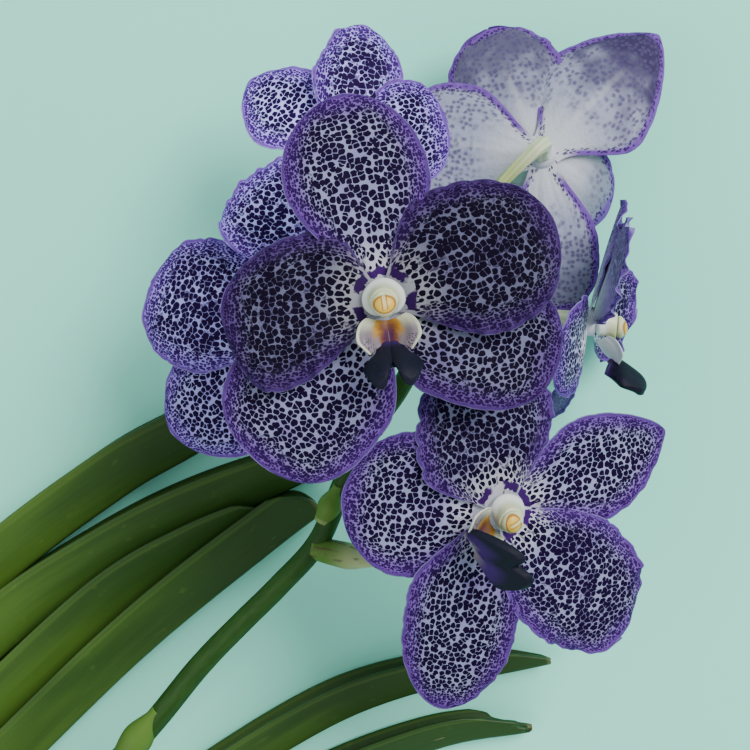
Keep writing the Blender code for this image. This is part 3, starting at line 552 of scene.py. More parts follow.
def tepal(order, numbers, bloom, seed, tone, through, sizes):
    """One tepal as a closed blade, thin at its margin, with its surface turned to its place round the boss.

    Its notes are made for the spots. "pattern" counts spots across and along, and holds the tone, the tepal's
    painted light and shade. "place" holds the part of the length, the millimetres to the margin, and how much
    of the face shows: all of it in front, and behind as much as through says, most of it in the outer part.
    "mood" holds the order of the tepal, the millimetres to the middle of the bloom and the share of the half
    width."""
    kind = KINDS[order]
    value = dict(zip(TEPAL_KEYS, numbers))
    part, across = tepal_grid(value)
    along, side, forward, half = tepal_surface(kind, value, part, across, seed, sizes.frill)
    angle = math.radians(value["turn"] + 90)
    x = along * math.cos(angle) - side * math.sin(angle)
    y = along * math.sin(angle) + side * math.cos(angle)
    spread, reach = np.abs(across), value["length"]
    margin = np.minimum(half * (1 - spread), (reach - TEPAL_SHOULDER * half) * (1 - part)) * 1000
    thick = TEPAL_RIM + (TEPAL_THICK - TEPAL_RIM) * np.clip(margin / 6, 0, 1) ** 0.6
    widest = (value["left"] + value["right"]) / 2
    columns = np.sign(across) * (0.15 * widest + 0.85 * half) * spacing_sum(spread, *sizes.across_spacing)
    lines = reach * spacing_sum(part, *sizes.along_spacing)
    notes = {
        "pattern": stacked(columns + 31 * seed, lines + 17 * seed, tone),
        "place": stacked(part, margin, 1.0),
        "mood": stacked(order, np.hypot(x, y) * 1000, across),
    }
    made = shell(placed(stacked(x, y, forward), bloom), thick, notes)
    outer = np.tile(np.broadcast_to(eased(part, 0.45, 0.70), x.shape).ravel(), 2)
    shown = made["notes"]["place"][:, 2]
    made["notes"]["place"][:, 2] = np.maximum(shown, through * (0.15 + 0.85 * outer))
    return made


def boss(bloom):
    """The short drum in which the tepals of a bloom meet. Its notes are those of the heart of a tepal."""
    profile = [(BOSS_RADIUS * 0.7, BOSS_BACK), (BOSS_RADIUS, -0.0010), (BOSS_RADIUS, BOSS_TOP)]
    made = turned(profile, 24, bloom)
    size = (len(made["points"]), 1)
    made["notes"]["place"] = np.tile([0.0, 8.0, 1.0], size)
    made["notes"]["mood"] = np.tile([0.0, 3.0, 0.0], size)
    made["notes"]["pattern"][:, 2] = 1.0
    return made


def lip_line(bloom, part):
    """Places along the middle of the lip: it drops at first, then comes forward, swung to one side."""
    rise = LIP_RISE * (0.25 * part + 0.75 * part**2)
    y = LIP_FOOT[0] - bloom["hang"] * (1 - (1 - part) ** 1.8)
    return bloom["swing"][0] * rise, y + bloom["swing"][1] * rise, LIP_FOOT[1] + rise


def lip_start(bloom):
    """The part of the lip's line where the midlobe starts, clear of the trough's end however they bend."""
    places = np.array([lip_line(bloom, part) for part in (0.6 * TROUGH, TROUGH, 1.2 * TROUGH)])
    behind, ahead = places[1] - places[0], places[2] - places[1]
    behind, speed = behind / np.linalg.norm(behind), np.linalg.norm(ahead) / (0.2 * TROUGH)
    bend = np.linalg.norm(np.cross(behind, ahead / np.linalg.norm(ahead)))
    return TROUGH + (1.2 * GAP + 0.8 * LIP_THICK * bend) / speed


def trough(bloom):
    """The pale trough of the lip, a floor and two ears. The floor follows the lip's line. Away from it the
    sides swing out and stand up, furthest in the middle of their length, and they start higher and end
    lower than the floor, so each ear is rounded, and its rim rolls outward."""
    part = np.linspace(0, 1, 46)[:, None]
    across = crowded(81, 0.9)
    middle, y, z = lip_line(bloom, TROUGH * part)
    spread = np.abs(across)
    ear = np.sin(math.pi * (0.10 + 0.78 * part)) ** 0.8
    curl = eased(spread, 0.80, 1.0)
    x = np.sign(across) * (0.0034 * np.sin(spread * 1.5) + (0.0054 * spread**1.5 + 0.0005 * curl) * ear)
    rise = (0.0068 * spread**1.7 - 0.0010 * curl) * ear + 0.0006 * spread
    drop = spread**2 * (0.0016 * (1 - part) - 0.0026 * part**2) + 0.0004 * np.sin(part * 9) * curl
    thick = TROUGH_THICK * (1 - 0.60 * eased(spread, 0.7, 1.0))
    notes = {"place": stacked(part, across, 1.0), "pattern": stacked(x * 1000, part * 12, rise * 1000)}
    return shell(placed(stacked(middle + x, y + drop, z + rise), bloom), thick, notes)


def midlobe(bloom):
    """The midlobe: a thick tongue that follows the lip's line, then curls down at its end, and widens to two
    rounded lobes with a notch between them, shallower where the lip is swung. It has a groove down its middle
    and a low keel beside it, and its sides droop by the square of the distance from the middle."""
    part = np.linspace(0, 1, 60)[:, None]
    across = crowded(65)
    spread = np.abs(across)
    start = lip_start(bloom)
    sideways, upward = bloom["swing"]
    knots = []
    for share, down, back in MIDLOBE_CURL:
        middle, y, z = lip_line(bloom, start + (1 - start) * share)
        knots.append((middle, y - down * (1 - 0.8 * upward), z - back * (1 - 0.7 * upward)))
    notch = 0.46 - 0.30 * min(1.0, abs(sideways) + abs(upward))
    corner = 0.50 * np.clip((spread - 0.42) / 0.58, 0, 1) ** 2.2
    way = part * (1 - notch * np.exp(-((across / 0.20) ** 2)) - corner)
    size = MIDLOBE_LARGER if bloom["lean"] > LEANING else 1.0
    half = size * (0.0040 + 0.0045 * eased(way, 0.03, 0.42))
    keels = 0.0007 * (np.exp(-(((spread - 0.32) / 0.16) ** 2)) - 1.3 * np.exp(-((across / 0.15) ** 2)))
    keels = keels * np.sin(math.pi * np.clip(way * 0.85 + 0.1, 0, 1))
    droop = 0.0056 if bloom["lean"] > SIDEWAYS else 0.0022
    points = read_off(smooth_path(knots, 80), way)
    points[..., 0] += half * across
    points[..., 1] += 0.5 * keels - droop * spread**2
    points[..., 2] += 0.8 * keels - 0.0016 * spread**2
    rounded = np.sqrt(np.clip(1 - 0.93 * spread**5, 0, 1)) * np.sqrt(1 - 0.92 * eased(part, 0.88, 1.0))
    notes = {"place": stacked(part, across, 1.0), "pattern": stacked(half * across * 1000, way * 16, 0.0)}
    return shell(placed(points, bloom), size * MIDLOBE_THICK * rounded, notes)


def column(bloom):
    """The stout column, turned from its profile drawn through as a smooth curve. Towards the lip it has a
    hollow at its foot and a protruding chin under the cap."""
    base = BOSS_TOP + GAP
    knots = np.array([(radius, base + height, 0) for radius, height in COLUMN_PROFILE])
    profile = smooth_path(knots, 30)[:, :2]
    radius, height = profile[-1]
    profile = np.vstack([profile, (radius * 0.8, height + 0.0001), (radius * 0.5, height + 0.0001)])

    def shaped(part, turns):
        """How far the column is pushed out, as a share of its radius: a bump round the angle of the lip's
        side, outwards for the chin and inwards for the hollow, and a low one at each side."""
        lip_side = np.exp(-(((turns - 1.5 * math.pi) / 0.60) ** 2))
        shoulders = np.exp(-((np.cos(turns) ** 2 - 1) / 0.25) ** 2)
        chin = 0.26 * lip_side * eased(part, 0.55, 0.92)
        return chin - 0.20 * lip_side * eased(part, 0.5, 0.2) + 0.05 * shoulders

    return turned(profile, 48, bloom, shaped, (0, 0.0004, 0), COLUMN_LEAN)


def cap(bloom):
    """The anther cap: a dome of two chambers with a crease between them and a small beak over the lip."""
    base = BOSS_TOP + GAP + COLUMN_PROFILE[-1][1] + GAP
    angles = np.linspace(0, 1.5, 26)
    dome = [(CAP_RADIUS * math.cos(angle), base + 0.0005 + CAP_HEIGHT * math.sin(angle)) for angle in angles]

    def chambers(part, turns):
        """How far the cap is pushed out, as a share of its radius: inwards in a narrow crease on its
        dorsal side and outwards in a beak over the lip."""
        dorsal = np.exp(-((np.sin(turns) - 1) / 0.035) ** 2)
        beak = 0.10 * np.exp(-(((turns - 1.5 * math.pi) / 0.45) ** 2)) * eased(part, 0.7, 0.1)
        return -0.16 * dorsal * eased(part, 0.15, 0.4) * eased(part, 1.0, 0.8) + beak

    return turned([(CAP_RADIUS * 0.9, base)] + dome, 64, bloom, chambers, (0, 0.0002, 0), COLUMN_LEAN)


def bract_tip(bloom):
    """Where the bract of a bloom ends and its pedicel starts, and the direction of the two."""
    reach = np.array(bloom["bract"])
    length = np.linalg.norm(reach)
    return np.array(bloom["joint"]) + reach * (1 + STALK_RADIUS / length), reach / length


def pedicel(bloom, seed):
    """The ribbed stalk behind a bloom: a smooth path from its bract to the boss, thickest behind the bloom,
    with six ribs that wind slowly round it."""
    back = placed([(0, 0, BOSS_BACK - GAP)], bloom)[0]
    behind = placed([(0, 0, BOSS_BACK - 0.011)], bloom)[0]
    tip, outward = bract_tip(bloom)
    start = tip + outward * GAP
    coarse = smooth_path((start, start + outward * 0.005, behind, back), 9)
    coarse[-2] = back + (behind - back) * 0.35

    def ribbed(part, turns):
        """The radius of the pedicel: it grows with the length, times a cosine of the angle for the ribs."""
        plain = PEDICEL_THICKER * (PEDICEL_START + (PEDICEL_END - PEDICEL_START) * part**1.2)
        return plain * (1 + 0.07 * np.cos(RIBS * (turns + RIB_WIND * part)) * eased(part, 0.0, 0.15))

    return tube(coarse, 70, 48, ribbed, seed)


def leaf(name, numbers, seed):
    """A strap leaf folded along its keel: two halves that open from the keel at the fold angle, narrow at the
    sheath and cut unevenly at the tip, with the fold itself rounded off. The leaf is rolled over past its
    first third."""
    width, roll, keel = numbers
    line = smooth_path(keel, 60)
    line[:, 2] = np.maximum(line[:, 2], LEAF_THICK / 2)
    across = np.linspace(-1, 1, 41)[None, :]
    spread = np.abs(across)
    ragged = 0.005 * np.sin(across * 7 + seed) + 0.0015 * np.sin(across * 17 + 2 * seed)
    bitten = BITES.get(name, 0.5) * (ragged - 0.012 * np.clip(spread * 4 - 1, 0, 1))
    part = np.linspace(0, 1, 150)[:, None] * np.clip(1 + bitten - 0.05 * spread**4, 0, 1)
    ahead = np.gradient(line, axis=0)
    ahead[:, 2] = 0
    outward = np.cross(UP, unit(ahead))
    if keel[-1][0] < keel[0][0]:
        outward = -outward
    opened = 0.40 + 0.60 * np.clip(part * 4, 0, 1)
    narrowed = 1 - TAPER.get(name, 0.5) * np.clip(part * 3 - 2, 0, 1) ** 2.5
    half = width * WIDER.get(name, 1) / 2 * opened * narrowed
    reach = half * (np.sqrt(across**2 + 0.012) - 0.06)
    opening = math.radians(LEAF_FOLD)
    side = reach * math.cos(opening)
    rise = -np.sign(across) * reach * math.sin(opening)
    angle = -np.radians(roll) * np.clip(part * 3, 0, 1)
    away = side * np.cos(angle) + rise * np.sin(angle)
    points = read_off(line, part) + read_off(outward, part) * away[..., None]
    points[..., 2] += rise * np.cos(angle) - side * np.sin(angle)
    thick = LEAF_THICK * (0.45 + 0.55 * np.sqrt(1 - spread**3))
    pattern = stacked(half * across * 1000 + 90 * seed, part * length_of(line) * 1000, seed)
    return shell(points, thick, {"place": stacked(part, across, 1.0), "pattern": pattern})


def stem_patches():
    """The stem's core, and for each leaf a sheath that leans out from the stem to the leaf's foot."""
    def narrowing(part, turns):
        """The radius of the core: it ends a fifth smaller than it starts."""
        return STEM_RADIUS * (1 - 0.2 * eased(part, 0.5, 1.0))

    def clasping(part, turns):
        """The radius of a sheath: it swells over its first half and draws in at its mouth."""
        swelling = 0.85 + 0.15 * np.sin(math.pi / 2 * np.clip(part * 2, 0, 1))
        mouth, start = 1 - 0.5 * eased(part, 0.94, 1.0), 1 - 0.3 * eased(part, 0.05, 0.0)
        return SHEATH_RADIUS * swelling * mouth * start

    along = unit(STEM_TIP - STEM_FOOT)
    patches = [tube((STEM_FOOT, STEM_TIP), 60, 28, narrowing)]
    for number, (_, _, keel) in enumerate(LEAVES.values()):
        foot, onward = np.array(keel[0]), np.array(keel[1])
        mouth = foot - unit(onward - foot) * (GAP + LEAF_THICK / 2)
        low = STEM_FOOT + along * ((foot - STEM_FOOT) @ along - SHEATH_REACH)
        patches.append(tube((low, (low + mouth) / 2 + along * 0.002, mouth), 46, 32, clasping, number + 1))
    return patches


def spike_patches():
    """The flower stalk, thinner in its outer half, with its bracts: each is a tube that swells from its foot
    and draws in, to its lip on the stalk and to the foot of a pedicel under a bloom."""
    def bar(part, turns):
        """The radius of the stalk: it thins evenly over its outer half."""
        outer_half = np.clip(part * 2 - 1, 0, 1)
        return STALK_THICKER * (STALK_RADIUS + (STALK_END_RADIUS - STALK_RADIUS) * outer_half)

    patches = [tube(STALK, 220, 28, bar)]
    for number, (start, end, radius) in enumerate(STALK_BRACTS):
        def clasping(part, turns, radius=radius):
            """The radius of a bract on the stalk: it swells over its first half and draws in to its lip."""
            return radius * (0.8 + 0.2 * eased(part, 0.0, 0.45) - 0.62 * eased(part, 0.45, 1.0))

        patches.append(tube((start, end), 40, 32, clasping, number + 1))
    for number, bloom in enumerate(BLOOMS.values()):
        def cupped(part, turns, wide=bloom["bract_radius"]):
            """The radius of a bract under a bloom: a swollen first half, then a step to the pedicel's."""
            drawn_in = eased(part, 0.5, 1.0)
            return wide * (0.8 + 0.15 * np.sin(math.pi * part)) * (1 - drawn_in) + PEDICEL_START * drawn_in

        patches.append(tube((np.array(bloom["joint"]), bract_tip(bloom)[0]), 30, 28, cupped, number + 11))
    return patches


def root_patch(route, seed):
    """A thick root lying on the floor, a little uneven, that thins towards its rounded tip."""
    line = smooth_path([(x, y, 0) for x, y in route], 9)
    line[:, 2] = ROOT_RADIUS * (1 - 0.35 * np.linspace(0, 1, len(line)) ** 2)

    def uneven(part, turns):
        """The radius of a root: it thins with the square of the length, with low waves and a round end."""
        swell = 0.03 * np.sin(part * 21 + seed) * np.sin(turns + part * 5)
        rounded = np.sqrt(1 - 0.97 * eased(part, 0.975, 1.0))
        return ROOT_RADIUS * (1 - 0.35 * part**2) * (0.97 + swell) * rounded

    return tube(line, 120, 28, uneven, seed)


def shade(colour):
    """A colour with its full opacity."""
    return (*colour, 1.0)


class Finish:
    """A material that is put together from nodes, each made by one call that gives back its result."""

    def __init__(self, name, roughness=0.5):
        self.material = bpy.data.materials.new(name)
        self.material.use_nodes = True
        self.tree = self.material.node_tree
        self.shader = self.tree.nodes["Principled BSDF"]
        self.shader.inputs["Roughness"].default_value = roughness

    def node(self, kind, settings, inputs, output=0):
        """A node with its settings, and its inputs joined or set."""
        made = self.tree.nodes.new(kind)
        for key, value in settings.items():
            setattr(made, key, value)
        for key, value in inputs.items():
            self.feed(made.inputs[key], value)
        return made.outputs[output]

    def feed(self, socket, value):
        """Joins a result to an input, or sets the input to a plain value."""
        if isinstance(value, bpy.types.NodeSocket):
            self.tree.links.new(value, socket)
        else:
            socket.default_value = value

    def sum(self, operation, first, second=0.0, third=0.0):
        """Arithmetic on one to three numbers."""
        return self.node("ShaderNodeMath", {"operation": operation}, {0: first, 1: second, 2: third})

    def times(self, first, *others):
        """The product of two or more numbers."""
        for other in others:
            first = self.sum("MULTIPLY", first, other)
        return first

    def plus(self, first, *others):
        """The sum of two or more numbers."""
        for other in others:
            first = self.sum("ADD", first, other)
        return first

    def minus(self, first, second):
        """The difference of two numbers."""
        return self.sum("SUBTRACT", first, second)

    def size(self, value):
        """A number without its sign."""
        return self.sum("ABSOLUTE", value)

    def swing(self, cloud, height):
        """A cloudy value round 0.5, made one round 0 and drawn out to a height."""
        return self.times(self.minus(cloud, 0.5), height)

    def vector(self, operation, first, second):
        """Arithmetic on two vectors."""
        return self.node("ShaderNodeVectorMath", {"operation": operation}, {0: first, 1: second})

    def stretched(self, vector, scales):
        """A vector whose three numbers are each made larger or smaller."""
        return self.vector("MULTIPLY", vector, scales)

    def step(self, value, low, high, start=0.0, end=1.0):
        """A smooth step of a value, from start at low to end at high."""
        settings = {"interpolation_type": "SMOOTHSTEP"}
        if low > high:
            low, high, start, end = high, low, end, start
        return self.node("ShaderNodeMapRange", settings, {0: value, 1: low, 2: high, 3: start, 4: end})

    def blend(self, share, first, second):
        """A number between two others."""
        return self.node("ShaderNodeMix", {}, {0: share, 2: first, 3: second})

    def mix(self, share, first, second):
        """A colour between two others, each a result or a plain colour."""
        ends = [end if isinstance(end, bpy.types.NodeSocket) else shade(end) for end in (first, second)]
        return self.node("ShaderNodeMix", {"data_type": "RGBA"}, {0: share, 6: ends[0], 7: ends[1]}, 2)

    def whole(self, name):
        """The three numbers that the mesh keeps under a name, as a vector."""
        return self.node("ShaderNodeAttribute", {"attribute_name": name}, {}, 1)

    def note(self, name):
        """The three numbers that the mesh keeps under a name, one by one."""
        return tuple(self.node("ShaderNodeSeparateXYZ", {}, {0: self.whole(name)}).node.outputs)

    def noise(self, vector, scale, detail=2.0, output=0):
        """A cloudy value round 0.5, or with output 1 a cloudy vector."""
        inputs = {"Vector": vector, "Scale": scale, "Detail": detail}
        return self.node("ShaderNodeTexNoise", {}, inputs, output)

    def cells(self, vector, feature, output=0, kind="2D"):
        """In a pattern of cells one unit wide, the distance to the nearest centre (feature F1) or to the
        cell's edge, or with output 1 the cell's random colour."""
        settings = {"voronoi_dimensions": kind, "feature": feature}
        inputs = {"Vector": vector, "Scale": 1.0, "Randomness": CELL_SCATTER}
        return self.node("ShaderNodeTexVoronoi", settings, inputs, output)

    def net(self, places):
        """A net of cells: the distances to the nearest centre and to the net, and each cell's lot, 0 to 1."""
        lot = self.node("ShaderNodeSeparateColor", {}, {0: self.cells(places, "F1", 1)})
        return self.cells(places, "F1"), self.cells(places, "DISTANCE_TO_EDGE"), lot

    def done(self, colour, height=None, depth=0.0001, **values):
        """Joins the colour and a height field to the shader, with other values by name."""
        self.feed(self.shader.inputs["Base Color"], colour)
        for key, value in values.items():
            self.feed(self.shader.inputs[key.replace("_", " ")], value)
        if height is not None:
            bump = self.node("ShaderNodeBump", {}, {"Strength": 1.0, "Distance": depth, "Height": height})
            self.feed(self.shader.inputs["Normal"], bump)
        return self.material


def petal_fields(made):
    """What the parts of a tepal's marking share: the notes of the mesh, a net of cells whose lines are warped
    by noise, a finer net, two clouds of noise, which tepals are petals, and the plain band at the margin."""
    at = SimpleNamespace(pattern=made.whole("pattern"))
    _, _, at.tone = made.note("pattern")
    at.part, at.margin, at.front = made.note("place")
    at.order, at.radius, at.side = made.note("mood")
    warp = made.vector("SUBTRACT", made.noise(at.pattern, 1.1, 1.0, 1), (0.5, 0.5, 0.5))
    warped = made.vector("ADD", at.pattern, made.stretched(warp, (0.5, 0.5, 0)))
    flat = made.stretched(warped, (1, 1, 0))
    at.nearest, at.border, at.lot = made.net(flat)
    at.fine_nearest, at.fine_border, at.fine_lot = made.net(made.stretched(flat, FINE_CELLS))
    at.patchy = made.noise(at.pattern, 0.22, 2.0)
    at.broken = made.noise(flat, 0.95, 1.0)
    at.petal = made.times(made.step(at.order, 0.4, 0.6), made.step(at.order, 2.6, 2.4))
    band = made.step(made.plus(at.margin, made.step(at.patchy, 0.3, 0.7, -0.4, 0.4)), 1.6, 0.7)
    at.plain = made.times(band, made.step(at.radius, 9.0, 16.0))
    return at


def petal_spots(made, at):
    """The spots, 1 inside and 0 outside. A spot is where a place is both inside its cell, clear of the net's
    lines, and inside a circle round the cell's centre: the smooth minimum of the two depths, which rounds
    its corners. Lines are wider at the heart and missing where a cloud is high, so that two spots run
    together. Near the margin the finer net takes over, and on petals it leaves flecks between spots."""
    line = made.step(at.radius, *HEART, *LINE)
    missing = made.step(at.broken, 0.55, 0.66, 0.0, -0.20)
    throat = made.step(at.radius, 10.5, 8.5, 0.0, 0.6)
    # On petals the net's lines are thinner and the circles larger, so the spots cover more: partly the
    # petals' own marking, partly painted shade that darkens them.
    line = made.minus(made.plus(line, missing, throat), made.times(at.petal, 0.022))
    circle = made.plus(made.times(at.lot, 0.30), made.step(at.radius, *HEART, *CIRCLE))
    circle = made.plus(circle, made.times(at.petal, 0.03))
    depth = made.sum("SMOOTH_MIN", made.minus(at.border, line), made.minus(circle, at.nearest), ROUNDING)
    spots = made.step(depth, -0.040, 0.005)
    fine_line = made.plus(made.step(at.broken, 0.42, 0.58, 0.06, -0.10), made.times(at.plain, 0.5))
    fine_circle = made.plus(made.times(at.fine_lot, 0.35), 0.34)
    fine_inside = made.step(made.minus(fine_circle, at.fine_nearest), -0.04, 0.06)
    fine = made.times(made.step(made.minus(at.fine_border, fine_line), -0.02, 0.05), fine_inside)
    between = made.times(made.step(at.nearest, 0.58, 0.64), made.step(at.patchy, 0.50, 0.56, 0.0, 0.7))
    spots = made.sum("MAXIMUM", spots, made.times(between, fine, at.petal))
    outer = made.step(made.plus(at.margin, made.swing(at.patchy, 14.0)), 7.2, 6.0)
    return made.blend(made.times(outer, made.step(at.radius, 11.0, 15.0)), spots, fine)


def petal_collar(made, at):
    """The bars round the column: a ring with uneven edges, of which a sepal keeps its middle and a petal a
    stretch on either side of its midline. On the side sepals it is fainter."""
    wobble = made.swing(made.noise(at.pattern, 0.75, 2.0), 3.4)
    ring = made.plus(at.radius, wobble)
    away = made.size(made.plus(at.side, made.times(wobble, 0.10)))
    two = made.times(made.step(away, 0.14, 0.22), made.step(away, 0.86, 0.76))
    bars = made.blend(at.petal, made.step(away, 0.72, 0.62), two)
    bars = made.times(bars, made.step(at.order, 3.0, 2.6, 0.35, 1.0))
    return made.times(made.step(ring, 6.9, 7.3), made.step(ring, 10.0, 9.6), bars)


def petal_face(made, at, spots, colours):
    """The front of a tepal: a ground that is whiter at the heart and lilac near the margin, with painted
    shade on the petals and painted light on the lighter blooms, a plain violet margin with a pale rim, the
    spots, lighter near the margin, and the bars. The tone, a painted light and shade for each tepal, scales
    it all."""
    ground = made.mix(made.step(at.margin, 10.0, 1.5), colours.ground, colours.lilac)
    ground = made.mix(made.step(at.patchy, 0.45, 0.75, 0.0, 0.45), ground, colours.lilac)
    # Painted shade: the petals' ground is darkened.
    ground = made.mix(made.times(at.petal, 0.25), ground, colours.petal_painted_shade)
    ground = made.mix(made.step(at.radius, 22.0, 9.0, 0.0, 0.85), ground, colours.heart)
    # Painted light: the ground of the blooms whose tone is high is pushed towards a brighter blue-violet.
    ground = made.mix(made.step(at.tone, *PAINTED_LIGHT_TONE, 0.0, 0.40), ground, colours.bright)
    ground = made.mix(at.plain, ground, colours.margin)
    ground = made.mix(made.step(at.margin, 0.35, 0.08, 0.0, 0.5), ground, colours.ground)
    ink = made.mix(made.step(at.margin, 8.0, 1.5), colours.spot, colours.spot_edge)
    face = made.mix(petal_collar(made, at), made.mix(spots, ground, ink), colours.collar)
    # The tone scales the whole front: painted shade where it is below 1, painted light where it is above.
    return made.node("ShaderNodeVectorMath", {"operation": "SCALE"}, {0: face, 3: at.tone})


def petal_back(made, at, colours):
    """The back of a tepal: greyish blue, or lilac where the tone of painted light and shade is high, whiter
    at the heart, darker towards the tip, most where the tone paints shade, and lilac near the margin. Spots
    show through as blurred dots, fainter on the lilac backs and absent at the heart, a row of small crisp
    dots follows the margin, and the midrib is pale."""
    pale = made.mix(made.step(at.tone, *LILAC_TONE), colours.back, colours.back_lilac)
    pale = made.mix(made.step(at.radius, 27.0, 8.0, 0.0, 0.85), pale, colours.heart)
    tip = made.step(made.plus(at.part, made.times(at.patchy, 0.7)), 0.66, 1.22)
    # The tip darkens most on tepals whose tone paints shade.
    pale = made.mix(made.times(tip, made.step(at.tone, 1.00, 0.35, 0.10, 1.0)), pale, colours.back_tip)
    soft = made.plus(at.nearest, made.swing(at.broken, 0.5))
    blurred = made.times(made.step(soft, 0.60, 0.12), made.step(at.lot, 0.15, 0.40))
    outside = made.step(made.plus(at.radius, made.swing(at.patchy, 30.0)), 14.0, 30.0)
    blurred = made.times(blurred, outside, made.step(at.tone, *LILAC_TONE, 0.80, 0.15))
    pale = made.mix(blurred, pale, colours.back_spot)
    edge = made.times(made.step(at.margin, 3.4, 1.6), made.step(at.radius, 6.0, 14.0))
    pale = made.mix(edge, pale, colours.lilac)
    crisp = made.times(made.step(at.fine_nearest, 0.50, 0.36), made.step(at.fine_lot, 0.40, 0.45))
    crisp = made.times(crisp, made.step(at.margin, 4.0, 2.8), made.step(at.margin, 0.8, 1.3))
    pale = made.mix(made.times(crisp, 0.9), pale, colours.spot_edge)
    midrib = made.times(made.step(made.size(at.side), 0.09, 0.02, 0.0, 0.4), made.step(at.part, 0.8, 0.3))
    return made.mix(midrib, pale, colours.heart)


def petal_finish(colours):
    """Blue-violet with dark spots in front, paler with blurred dots behind, hardly shiny, with the spots
    standing up a little."""
    made = Finish("spotted_petal", 0.6)
    at = petal_fields(made)
    spots = petal_spots(made, at)
    colour = made.mix(at.front, petal_back(made, at, colours), petal_face(made, at, spots, colours))
    return made.done(colour, spots, 0.00006, Specular_IOR_Level=0.07)


def trough_finish(colours):
    """Greyish mauve ears with a cream rim, yellow to orange-brown towards the throat, a purple throat with a
    pale line down it, and fine dark specks at the outer ends of the ears. Outside it is whitish."""
    made = Finish("cream_trough", 0.45)
    pattern = made.whole("pattern")
    part, across, front = made.note("place")
    spread = made.size(across)
    cloud = made.noise(pattern, 0.5, 3.0)
    shifted = made.plus(spread, made.swing(cloud, 0.25))
    colour = made.mix(made.step(part, 0.0, 0.5), colours.cream, colours.mauve)
    amber = made.times(made.step(shifted, 0.66, 0.46), made.step(part, 0.85, 0.35))
    colour = made.mix(amber, colour, colours.amber)
    brown = made.times(made.step(shifted, 0.50, 0.28), made.step(part, 0.0, 0.25, 0.55, 1.0))
    colour = made.mix(brown, colour, colours.throat)
    deep = made.times(made.step(shifted, 0.34, 0.16), made.step(part, 0.15, 0.6, 0.3, 1.0))
    colour = made.mix(deep, colour, colours.throat_deep)
    line = made.times(made.step(spread, 0.055, 0.015), made.step(part, 0.35, 0.55))
    colour = made.mix(made.times(line, 0.6), colour, colours.mauve)
    dots = made.cells(made.stretched(pattern, (1.5, 1.5, 1.5)), "F1", 0, "3D")
    ends = made.times(made.step(part, 0.50, 0.70), made.step(spread, 0.55, 0.75))
    specks = made.times(made.step(dots, 0.50, 0.38), ends)
    colour = made.mix(made.times(specks, 0.85), colour, colours.speck)
    colour = made.mix(made.step(spread, 0.91, 0.97), colour, colours.cream)
    colour = made.mix(front, colours.column, colour)
    return made.done(colour, cloud, 0.0001, Specular_IOR_Level=0.3)


def midlobe_finish(colours):
    """Blue-black velvet, violet at its foot and along the flanks. Underneath it is mauve at its foot, then
    violet, then dark."""
    made = Finish("dark_lip", 0.6)
    part, across, front = made.note("place")
    grain = made.noise(made.whole("pattern"), 0.9, 4.0)
    colour = made.mix(made.step(part, 0.22, 0.0, 0.0, 0.6), colours.lip, colours.lip_violet)
    flank = made.times(made.step(made.size(across), 0.80, 1.0), made.step(part, 0.45, 0.10))
    colour = made.mix(flank, colour, colours.lip_violet)
    colour = made.mix(made.step(grain, 0.50, 0.80, 0.0, 0.16), colour, colours.lip_violet)
    under = made.mix(made.step(part, 0.0, 0.30), colours.mauve, colours.lip_violet)
    under = made.mix(made.step(part, 0.25, 0.70), under, colours.lip)
    colour = made.mix(front, under, colour)
    return made.done(colour, grain, 0.00018, Specular_IOR_Level=0.2)


def cream_finish(colours):
    """Waxy white, turning greenish cream under the cap."""
    made = Finish("white_column", 0.35)
    part, _, _ = made.note("place")
    colour = made.mix(made.step(part, 0.35, 0.8), colours.column, colours.cream_green)
    return made.done(colour, made.noise(made.whole("pattern"), 0.5, 3.0), 0.0001)


def cap_finish(colours):
    """Yellow chambers outlined in orange-brown, on a cream foot and with a cream ridge between them. The
    outline is a ring round a place a little up from the middle, wider across than up."""
    made = Finish("yellow_cap", 0.35)
    x, y, _ = made.note("pattern")
    away = made.size(x)
    shifted = made.vector("ADD", made.whole("pattern"), (0, -0.3, 0))
    oval = made.stretched(shifted, (1.0, 1.25, 0))
    radius = made.node("ShaderNodeVectorMath", {"operation": "LENGTH"}, {0: oval}, 1)
    inside = made.step(radius, 3.2, 3.05)
    ring = made.times(made.step(radius, 3.5, 3.2), made.step(radius, 2.6, 2.95))
    ridge = made.times(made.step(away, 0.60, 0.35), made.step(y, -1.2, 0.2))
    beside = made.times(made.step(away, 1.05, 0.75), made.step(away, 0.40, 0.62))
    beside = made.times(beside, inside, made.step(y, -1.6, -0.6))
    colour = made.mix(inside, colours.cream_green, colours.cap)
    colour = made.mix(made.times(ring, 0.95), colour, colours.cap_line)
    colour = made.mix(made.times(beside, 0.85), colour, colours.cap_line)
    colour = made.mix(made.times(ridge, 0.7), colour, colours.cream_green)
    return made.done(colour, Specular_IOR_Level=0.35)


def pedicel_finish(colours):
    """Pale yellow-green, whiter behind the bloom, with darker grooves between the ribs."""
    made = Finish("ribbed_pedicel", 0.4)
    part, around, _ = made.note("place")
    wound = made.plus(around, made.times(part, RIB_WIND))
    rib = made.sum("COSINE", made.times(wound, RIBS))
    colour = made.mix(made.step(part, 0.15, 0.75), colours.pedicel, colours.pedicel_end)
    colour = made.mix(made.step(rib, 0.0, -1.0, 0.0, 0.12), colour, colours.stalk)
    return made.done(colour, made.noise(made.whole("pattern"), 0.7, 2.0), 0.00005)


